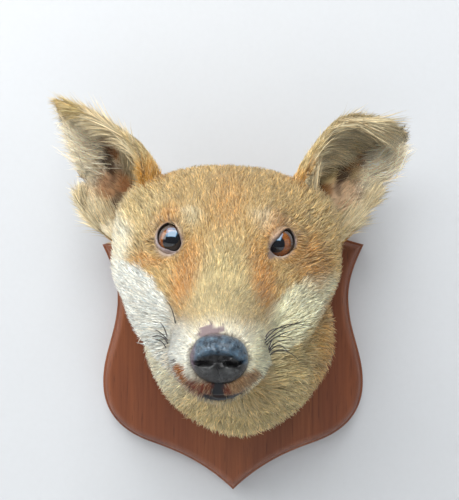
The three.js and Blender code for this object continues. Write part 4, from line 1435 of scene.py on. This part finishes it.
def noseSurface(azimuth, polar):
    soft = np.sign(np.sin(polar)) * np.abs(np.sin(polar)) ** noseSettings["squareness"]
    reach = noseReach(azimuth) * soft
    x, z = reach * np.cos(azimuth), reach * np.sin(azimuth)
    forward = np.cos(polar)
    front = softStep(forward, -0.1, 0.45)
    y = noseSettings["depth"] / 2 * forward
    shelf = noseSettings["shelf"]
    edge = shelf["height"] - shelf["droop"] * x ** 2
    below = softStep(z, edge + 0.5, edge - 0.7) * front
    y = y - shelf["recess"] * below * softStep(np.abs(x), 11, 7)
    y = y + 0.55 * np.exp(-((z - edge - 1.2) / 1.1) ** 2) * front * softStep(np.abs(x), 10, 6)
    for nostril in noseSettings["nostrils"]:
        dx, dz = x - nostril["at"][0], z - nostril["at"][1]
        dz = dz - nostril["bend"] * dx ** 2 - nostril["slope"] * dx
        hollow = np.exp(-(dx / nostril["reach"][0]) ** 2 - (dz / nostril["reach"][1]) ** 2) * (forward > -0.2)
        y = y - nostril["deep"] * hollow
    for side in (-1, 1):
        for (across, height), (wide, high), swell in noseSettings["swellings"]:
            bump = np.exp(-((x * side - across) / wide) ** 2 - ((z - height) / high) ** 2) * front
            y = y + swell * bump
    y = y - 0.7 * np.exp(-(x / 1.0) ** 2) * softStep(z, 6.5, 2.5) * front
    y = y - 0.5 * np.exp(-(x / 3.4) ** 2 - ((z - 7.0) / 1.8) ** 2) * front
    # old cracked leather: small uneven dents
    spots = np.stack([x, y * 0.5, z], axis=-1).reshape(-1, 3)
    y = y + (0.16 * waveField(spots, 2.4, 41) + 0.2 * waveField(spots, 1.2, 44)).reshape(y.shape) * front
    return x, y, z


def noseColours(local):
    # dark leather painted steel blue above as a painted sky sheen, black below, with painted grey highlights
    # on the wings under the nostrils, painted highlight lines and a purple edge
    x, z = local[:, 0], local[:, 2]
    shelf = noseSettings["shelf"]
    edge = shelf["height"] - shelf["droop"] * x ** 2
    # painted highlights: pale lines along the cracks of the upper lobe, and grey on the wings under the
    # nostrils
    paintedHighlightLines = softStep(np.abs(waveField(local, 1.5, 42)), 0.14, 0.02) * softStep(z, edge, edge + 1.4)
    wing = softStep(np.hypot((np.abs(x) - 4.8) / 3.0, (z + 5.1) / 1.5), 1.2, 0.6)
    upperRim = softStep(np.abs(z - 8.6), 1.6, 0.4) * softStep(np.abs(x + 3), 5, 3)
    # the steel blue is the leather's own dark tone lightened as a painted sky sheen
    return paintOver(np.tile(linear(66, 94, 116), (len(local), 1)), [
        (paintedHighlightLines * 0.6, linear(128, 152, 166)),
        (softStep(z, edge + 0.3, edge - 0.9), linear(15, 15, 17)),
        (wing * (0.65 + 0.3 * waveField(local, 3.0, 43)).clip(0, 1), linear(72, 74, 74)),
        (softStep(x, -8.4, -10.4) * softStep(np.abs(z), 8, 5), linear(104, 84, 98)),
        (upperRim * 0.8, linear(116, 98, 106)),
    ])


def makeNose():
    columns, rows = noseSettings["columns"], noseSettings["rows"]
    polar = np.linspace(0, math.pi, rows + 1)[1:-1]
    azimuth = np.linspace(0, 2 * math.pi, columns, endpoint=False)
    grid = np.stack(noseSurface(*np.meshgrid(azimuth, polar)), axis=-1).reshape(-1, 3)
    ends = [np.stack(noseSurface(np.array([0.0]), np.array([p])), axis=-1) for p in (0.0, math.pi)]
    local = np.concatenate([ends[0], grid, ends[1]])
    tilt = math.radians(noseSettings["tilt"])
    forward = local[:, 1] * math.cos(tilt) - local[:, 2] * math.sin(tilt)
    height = local[:, 1] * math.sin(tilt) + local[:, 2] * math.cos(tilt)
    places = np.stack([local[:, 0], forward, height], axis=1) + noseSettings["at"]
    piece = meshFromFaces("nose_pad", places, ballFaces(columns, rows))
    setColours(piece.data, "marking", np.concatenate([noseColours(local), np.ones((len(local), 1))], axis=1))
    return piece


def makeNoseMaterial():
    gloss = {"Specular_IOR_Level": 0.55, "Coat_Weight": 0.35, "Coat_Roughness": 0.22}
    material, tree, shader, place = newMaterial("noseLeather", **gloss)
    cells = addNode(tree, "ShaderNodeTexVoronoi", feature="DISTANCE_TO_EDGE")
    cells.inputs["Scale"].default_value = 900
    wobble = addMix(tree, 0.02, place, addNode(tree, "ShaderNodeTexNoise").outputs["Color"])
    tree.links.new(wobble, cells.inputs["Vector"])
    crack = addRange(tree, cells.outputs["Distance"], 0.0, 0.12, 0, 1)
    mottle = addNoise(tree, place, 420, 4.0, 0.65)
    marking = addMarking(tree)["Color"]
    dark = addMix(tree, 1.0, marking, (0.35, 0.35, 0.36), "MULTIPLY")
    light = addMix(tree, 1.0, marking, (1.5, 1.5, 1.45), "MULTIPLY")
    colour = addMix(tree, addRange(tree, mottle, 0.38, 0.66, 0, 1), dark, light)
    colour = addMix(tree, crack, addMix(tree, 0.45, colour, (0, 0, 0)), colour)
    finish(tree, shader, colour, addRange(tree, mottle, 0.3, 0.7, 0.2, 0.44))
    addBump(tree, shader, addMath(tree, "ADD", crack, mottle), 0.8, 0.0006)
    return material


dress(makeNose(), makeNoseMaterial(), ["nose"])
print("nose made")


# whiskers, tapered along curves by geometry nodes

whiskerSettings = {"radius": 0.3, "sides": 5, "steps": 14}
whiskers = {
    # root, middle and end of each: across, forward and height
    "left": [
        ((18.3, 156, 26.8), (26.5, 152, 32.8), (38.5, 145, 31.8)),
        ((19.1, 156, 25), (25, 151, 28.8), (35, 147, 31.6)),
        ((20, 155.6, 23), (23, 153, 28), (30, 150, 27)),
        ((20.5, 155, 22.4), (24.5, 152.5, 24.4), (28.5, 149, 21)),
        ((18.6, 155, 27.9), (21.6, 153, 31), (28.6, 149, 31.8)),
        ((20.4, 155, 21.6), (23, 152.5, 25.5), (31, 148, 26.4)),
        ((18.2, 155.5, 25.6), (28, 151, 32.4), (37, 147, 34)),
        ((20.6, 154, 20.6), (26, 150, 22.2), (33, 145, 18)),
    ],
    "right": [
        ((-24.6, 122, 19), (-29.2, 118, 22), (-36.4, 110, 18.4)),
        ((-24.6, 122.4, 20.6), (-29.5, 118, 24), (-34.5, 111, 24)),
        ((-25.6, 120.6, 17), (-30, 116, 19.8), (-36.6, 110, 17)),
        ((-20.4, 134, 30), (-23.8, 124, 36.4), (-28, 115, 39)),
        ((-24.8, 124, 22.6), (-27.4, 120, 27), (-31, 113, 28.5)),
    ],
}


def makeWhiskerTree(material):
    tree = bpy.data.node_groups.new("whiskers", "GeometryNodeTree")
    tree.interface.new_socket(name="Geometry", in_out="INPUT", socket_type="NodeSocketGeometry")
    radius = tree.interface.new_socket(name="Radius", in_out="INPUT", socket_type="NodeSocketFloat")
    sides = tree.interface.new_socket(name="Sides", in_out="INPUT", socket_type="NodeSocketInt")
    tree.interface.new_socket(name="Geometry", in_out="OUTPUT", socket_type="NodeSocketGeometry")
    given, out = tree.nodes.new("NodeGroupInput"), tree.nodes.new("NodeGroupOutput")
    curve = tree.nodes.new("GeometryNodeMeshToCurve")
    share = tree.nodes.new("GeometryNodeSplineParameter")
    taper = addNode(tree, "ShaderNodeMapRange")
    taper.inputs["To Min"].default_value = 1.0
    taper.inputs["To Max"].default_value = 0.35
    profile = tree.nodes.new("GeometryNodeCurvePrimitiveCircle")
    sweep = tree.nodes.new("GeometryNodeCurveToMesh")
    sweep.inputs["Fill Caps"].default_value = True
    realize = tree.nodes.new("GeometryNodeRealizeInstances")
    paint = tree.nodes.new("GeometryNodeSetMaterial")
    paint.inputs["Material"].default_value = material
    for start, end in (
        (given.outputs["Geometry"], curve.inputs["Mesh"]),
        (share.outputs["Factor"], taper.inputs["Value"]),
        (given.outputs["Radius"], profile.inputs["Radius"]),
        (given.outputs["Sides"], profile.inputs["Resolution"]),
        (curve.outputs["Curve"], sweep.inputs["Curve"]),
        (profile.outputs["Curve"], sweep.inputs["Profile Curve"]),
        (taper.outputs["Result"], sweep.inputs["Scale"]),
        (sweep.outputs["Mesh"], realize.inputs["Geometry"]),
        (realize.outputs["Geometry"], paint.inputs["Geometry"]),
        (paint.outputs["Geometry"], out.inputs["Geometry"]),
    ):
        tree.links.new(start, end)
    return tree, radius.identifier, sides.identifier


def makeWhiskers(material):
    points, edges = [], []
    for rows in whiskers.values():
        for root, middle, end in np.array(rows, float):
            first = len(points)
            for k in range(whiskerSettings["steps"] + 1):
                t = k / whiskerSettings["steps"]
                bend = 2 * middle - (root + end) / 2
                place = root * (1 - t) ** 2 + 2 * bend * t * (1 - t) + end * t ** 2
                points.append(Vector(toWorld(place)))
            edges += [(first + k, first + k + 1) for k in range(whiskerSettings["steps"])]
    lines = bpy.data.meshes.new("whiskerLines")
    lines.from_pydata(points, edges, [])
    guide = addPiece("whiskerLines", lines)
    tree, radiusKey, sidesKey = makeWhiskerTree(material)
    modifier = guide.modifiers.new("Whiskers", "NODES")
    modifier.node_group = tree
    modifier[radiusKey] = whiskerSettings["radius"] * mm
    modifier[sidesKey] = whiskerSettings["sides"]
    mesh = bakeDown(guide)
    mesh.name = "whiskers"
    return addPiece("whiskers", mesh)


def makeWhiskerMaterial():
    material, tree, shader, place = newMaterial("whiskerHorn", Specular_IOR_Level=0.5, Roughness=0.35)
    tint = addNoise(tree, place, 300, 2.0)
    colour = addMix(tree, addRange(tree, tint, 0.3, 0.7, 0, 1), linear(20, 17, 15), linear(52, 44, 38))
    finish(tree, shader, colour)
    return material


whiskerMaterial = makeWhiskerMaterial()
dress(makeWhiskers(whiskerMaterial), whiskerMaterial)
print("whiskers set")


# plaque

plaqueSettings = {
    "top": (0, 93.5),
    # two guides and the end of each curve of the right half, from the top down
    "curves": (
        ((26, 93.5), (42, 78), (85.4, 66.6)),
        ((80, 55), (75.4, 45), (75.4, 32)),
        ((75.4, 10), (84.9, -3), (84.9, -23)),
        ((84.9, -44), (72, -56), (53, -62.5)),
        ((36, -68.5), (18, -76), (0, -93.5)),
    ),
    "steps": 20,
    "sharp": 0.85,  # cosine of the turn that makes a corner sharp
    # moulding from the back: how far in from the outline and how far off the wall
    "moulding": (
        (0, 0), (0, 12.6), (0.25, 13.2), (0.9, 13.5), (1.5, 13.7), (1.9, 14.6), (2.5, 15.9), (3.3, 17.1),
        (4.3, 18.1), (5.3, 18.7), (6.2, 18.95), (7.0, 19.0),
    ),
}


def plaqueHalf():
    # right half of the outline from the top down
    rows = [np.array(plaqueSettings["top"], float)]
    start = rows[0]
    for first, second, end in plaqueSettings["curves"]:
        controls = [start, np.array(first, float), np.array(second, float), np.array(end, float)]
        for k in range(1, plaqueSettings["steps"] + 1):
            t = k / plaqueSettings["steps"]
            weights = ((1 - t) ** 3, 3 * t * (1 - t) ** 2, 3 * t * t * (1 - t), t ** 3)
            rows.append(sum(w * c for w, c in zip(weights, controls)))
        start = controls[3]
    return np.array(rows)


def insetOutline(outline, amount):
    # moves the outline in; points that a sharp corner leaves no room for go to the corner's own
    before, after = np.roll(outline, 1, axis=0), np.roll(outline, -1, axis=0)
    first, second = unit(outline - before), unit(after - outline)
    normalOne = np.stack([first[:, 1], -first[:, 0]], axis=1)
    normalTwo = np.stack([second[:, 1], -second[:, 0]], axis=1)
    middle = unit(normalOne + normalTwo)
    mitre = np.maximum(np.sum(middle * normalOne, axis=1), 0.2)
    inset = outline + middle * (amount / mitre)[:, None]
    for corner in np.nonzero(np.sum(first * second, axis=1) < plaqueSettings["sharp"])[0]:
        across = np.array([-middle[corner, 1], middle[corner, 0]])
        near = np.linalg.norm(outline - outline[corner], axis=1) < amount * 8 + 1
        crossed = ((outline - outline[corner]) @ across) * ((inset - inset[corner]) @ across) <= 0
        inset[near & crossed] = inset[corner]
    return inset


def makePlaque():
    half = plaqueHalf()
    other = half[1:-1][::-1] * (-1, 1)
    outline = np.concatenate([half, other])  # clockwise seen from the front
    count = len(outline)
    points = []
    for inset, out in plaqueSettings["moulding"]:
        ring = insetOutline(outline, inset)
        points += [(x * mm, -out * mm, z * mm) for x, z in ring]
    faces = []
    rings = len(plaqueSettings["moulding"])
    for r in range(rings - 1):
        for k in range(count):
            n, m = r * count, (r + 1) * count
            faces.append((n + k, m + k, m + (k + 1) % count, n + (k + 1) % count))
    last = len(half) - 1
    for start in (0, (rings - 1) * count):
        for k in range(last):
            left, nextLeft = (-k) % count, (-(k + 1)) % count
            face = [start + k, start + k + 1, start + nextLeft, start + left]
            faces.append(tuple(dict.fromkeys(face)))
    mesh = bpy.data.meshes.new("shield_plaque")
    mesh.from_pydata(points, [], faces)
    work = bmesh.new()
    work.from_mesh(mesh)
    bmesh.ops.remove_doubles(work, verts=work.verts, dist=1e-6)
    bmesh.ops.recalc_face_normals(work, faces=work.faces)
    work.to_mesh(mesh)
    work.free()
    mesh.update()
    return addPiece("shield_plaque", mesh)


def makeWoodMaterial():
    gloss = {"Coat_Weight": 0.12, "Coat_Roughness": 0.3, "Specular_IOR_Level": 0.35}
    material, tree, shader, place = newMaterial("mahogany", **gloss)
    broad = addNoise(tree, addStretch(tree, place, (28, 28, 3.2)), 1.0, 4.0, 0.55)
    fine = addNoise(tree, addStretch(tree, place, (420, 420, 16)), 1.0, 3.0, 0.6)
    pores = addNoise(tree, addStretch(tree, place, (1500, 1500, 60)), 1.0, 2.0, 0.5)
    colour = addMix(tree, addRange(tree, broad, 0.3, 0.7, 0, 1), linear(108, 57, 34), linear(144, 84, 50))
    colour = addMix(tree, addRange(tree, fine, 0.35, 0.75, 0, 0.55), colour, linear(84, 40, 22))
    poreMask = addRange(tree, pores, 0.62, 0.72, 0, 1)
    colour = addMix(tree, addMath(tree, "MULTIPLY", poreMask, 0.6), colour, linear(50, 24, 16))
    finish(tree, shader, colour, addRange(tree, fine, 0.3, 0.7, 0.36, 0.52))
    addBump(tree, shader, addMath(tree, "MULTIPLY_ADD", poreMask, -0.8, fine), 0.22, 0.0003)
    return material


dress(makePlaque(), makeWoodMaterial(), ["plaque"])
print("plaque made")


# stage: wall and floor, lights and camera

stageSettings = {"floor": -0.34, "size": 3.0, "near": 0.9, "wall": 0.0006, "paint": linear(206, 208, 210)}


def makeStagePlane(name, corners):
    mesh = bpy.data.meshes.new(name)
    mesh.from_pydata(corners, [], [(0, 1, 2, 3)])
    piece = addPiece(name, mesh)
    return piece


def makeStageMaterial():
    # seen from behind, the wall lets the view and the light through
    material, tree, shader, place = newMaterial("stagePaint", Roughness=0.9, Specular_IOR_Level=0.2)
    grain = addNoise(tree, place, 300, 2.0)
    colour = addMix(tree, addRange(tree, grain, 0.3, 0.7, 0, 0.06), stageSettings["paint"], (0.5, 0.5, 0.5))
    finish(tree, shader, colour)
    clear = tree.nodes.new("ShaderNodeBsdfTransparent")
    mix = tree.nodes.new("ShaderNodeMixShader")
    behind = tree.nodes.new("ShaderNodeNewGeometry").outputs["Backfacing"]
    out = tree.nodes["Material Output"]
    tree.links.new(behind, mix.inputs[0])
    tree.links.new(shader.outputs[0], mix.inputs[1])
    tree.links.new(clear.outputs[0], mix.inputs[2])
    tree.links.new(mix.outputs[0], out.inputs["Surface"])
    return material


def addStage():
    size, floor, wall = stageSettings["size"], stageSettings["floor"], stageSettings["wall"]
    paint = makeStageMaterial()
    near = stageSettings["near"]
    left, right = (-size, wall, floor), (size, wall, floor)
    for name, corners in (
        ("floor", [(-size, -near, floor), (size, -near, floor), right, left]),
        ("wall", [left, right, (size, wall, size), (-size, wall, size)]),
    ):
        makeStagePlane(name, corners).data.materials.append(paint)


def addAreaLight(name, at, towards, size, power, colour):
    light = bpy.data.lights.new(name, "AREA")
    light.shape = "RECTANGLE"
    light.size, light.size_y = size
    light.energy = power
    light.color = colour
    lamp = addPiece(name, light)
    lamp.location = at
    lamp.rotation_euler = (Vector(towards) - Vector(at)).to_track_quat("-Z", "Y").to_euler()
    return lamp


# place, size, power and colour of each panel
lightSettings = {
    "skyPanel": ((-0.22, -0.95, 0.98), (1.3, 1.1), 24.5, (0.97, 0.985, 1.0)),
    "windowPanel": ((-0.2, -0.72, 0.95), (1.6, 1.5), 42, (0.26, 0.62, 1.0)),
    "topPanel": ((-0.1, -0.4, 1.35), (1.4, 0.9), 4, (0.96, 0.98, 1.0)),
    "sidePanel": ((-1.1, -0.45, 0.5), (0.8, 0.8), 7, (1.0, 0.98, 0.95)),
    "fillPanel": ((1.1, -0.7, 0.2), (0.8, 0.8), 1.6, (1.0, 0.97, 0.92)),
    "backPanel": ((0.2, 0.9, 0.5), (0.8, 0.8), 5, (1.0, 1.0, 1.0)),
}
lightsFace = {"front": (0, -0.09, 0.04), "backPanel": (0, 0, 0)}
worldSettings = {"colour": (0.95, 0.97, 1.0, 1), "strength": 0.2}


def addLights():
    for name, (at, size, power, colour) in lightSettings.items():
        towards = lightsFace.get(name, lightsFace["front"])
        lamp = addAreaLight(name, at, towards, size, power, colour)
        if name == "windowPanel":  # a window that only the glass eyes mirror
            mirrors = bpy.data.collections.new("mirrors")
            for piece in eyePieces:
                mirrors.objects.link(piece)
            lamp.light_linking.receiver_collection = mirrors
    world = bpy.data.worlds.new("studio")
    bpy.context.scene.world = world
    world.use_nodes = True
    sky = world.node_tree.nodes["Background"].inputs
    sky["Color"].default_value = worldSettings["colour"]
    sky["Strength"].default_value = worldSettings["strength"]


cameraSettings = {"at": (-0.0023, -0.444, 0.063), "lens": 47.52, "sensor": 36}


def addCamera():
    lens = bpy.data.cameras.new("camera")
    lens.sensor_width = cameraSettings["sensor"]
    lens.lens = cameraSettings["lens"]
    lens.clip_start = 0.01
    camera = addPiece("camera", lens)
    camera.location = cameraSettings["at"]
    camera.rotation_euler = (math.radians(90), 0, 0)
    bpy.context.scene.camera = camera


addStage()
addLights()
addCamera()
bpy.context.scene.view_settings.view_transform = "Standard"
print("stage set")
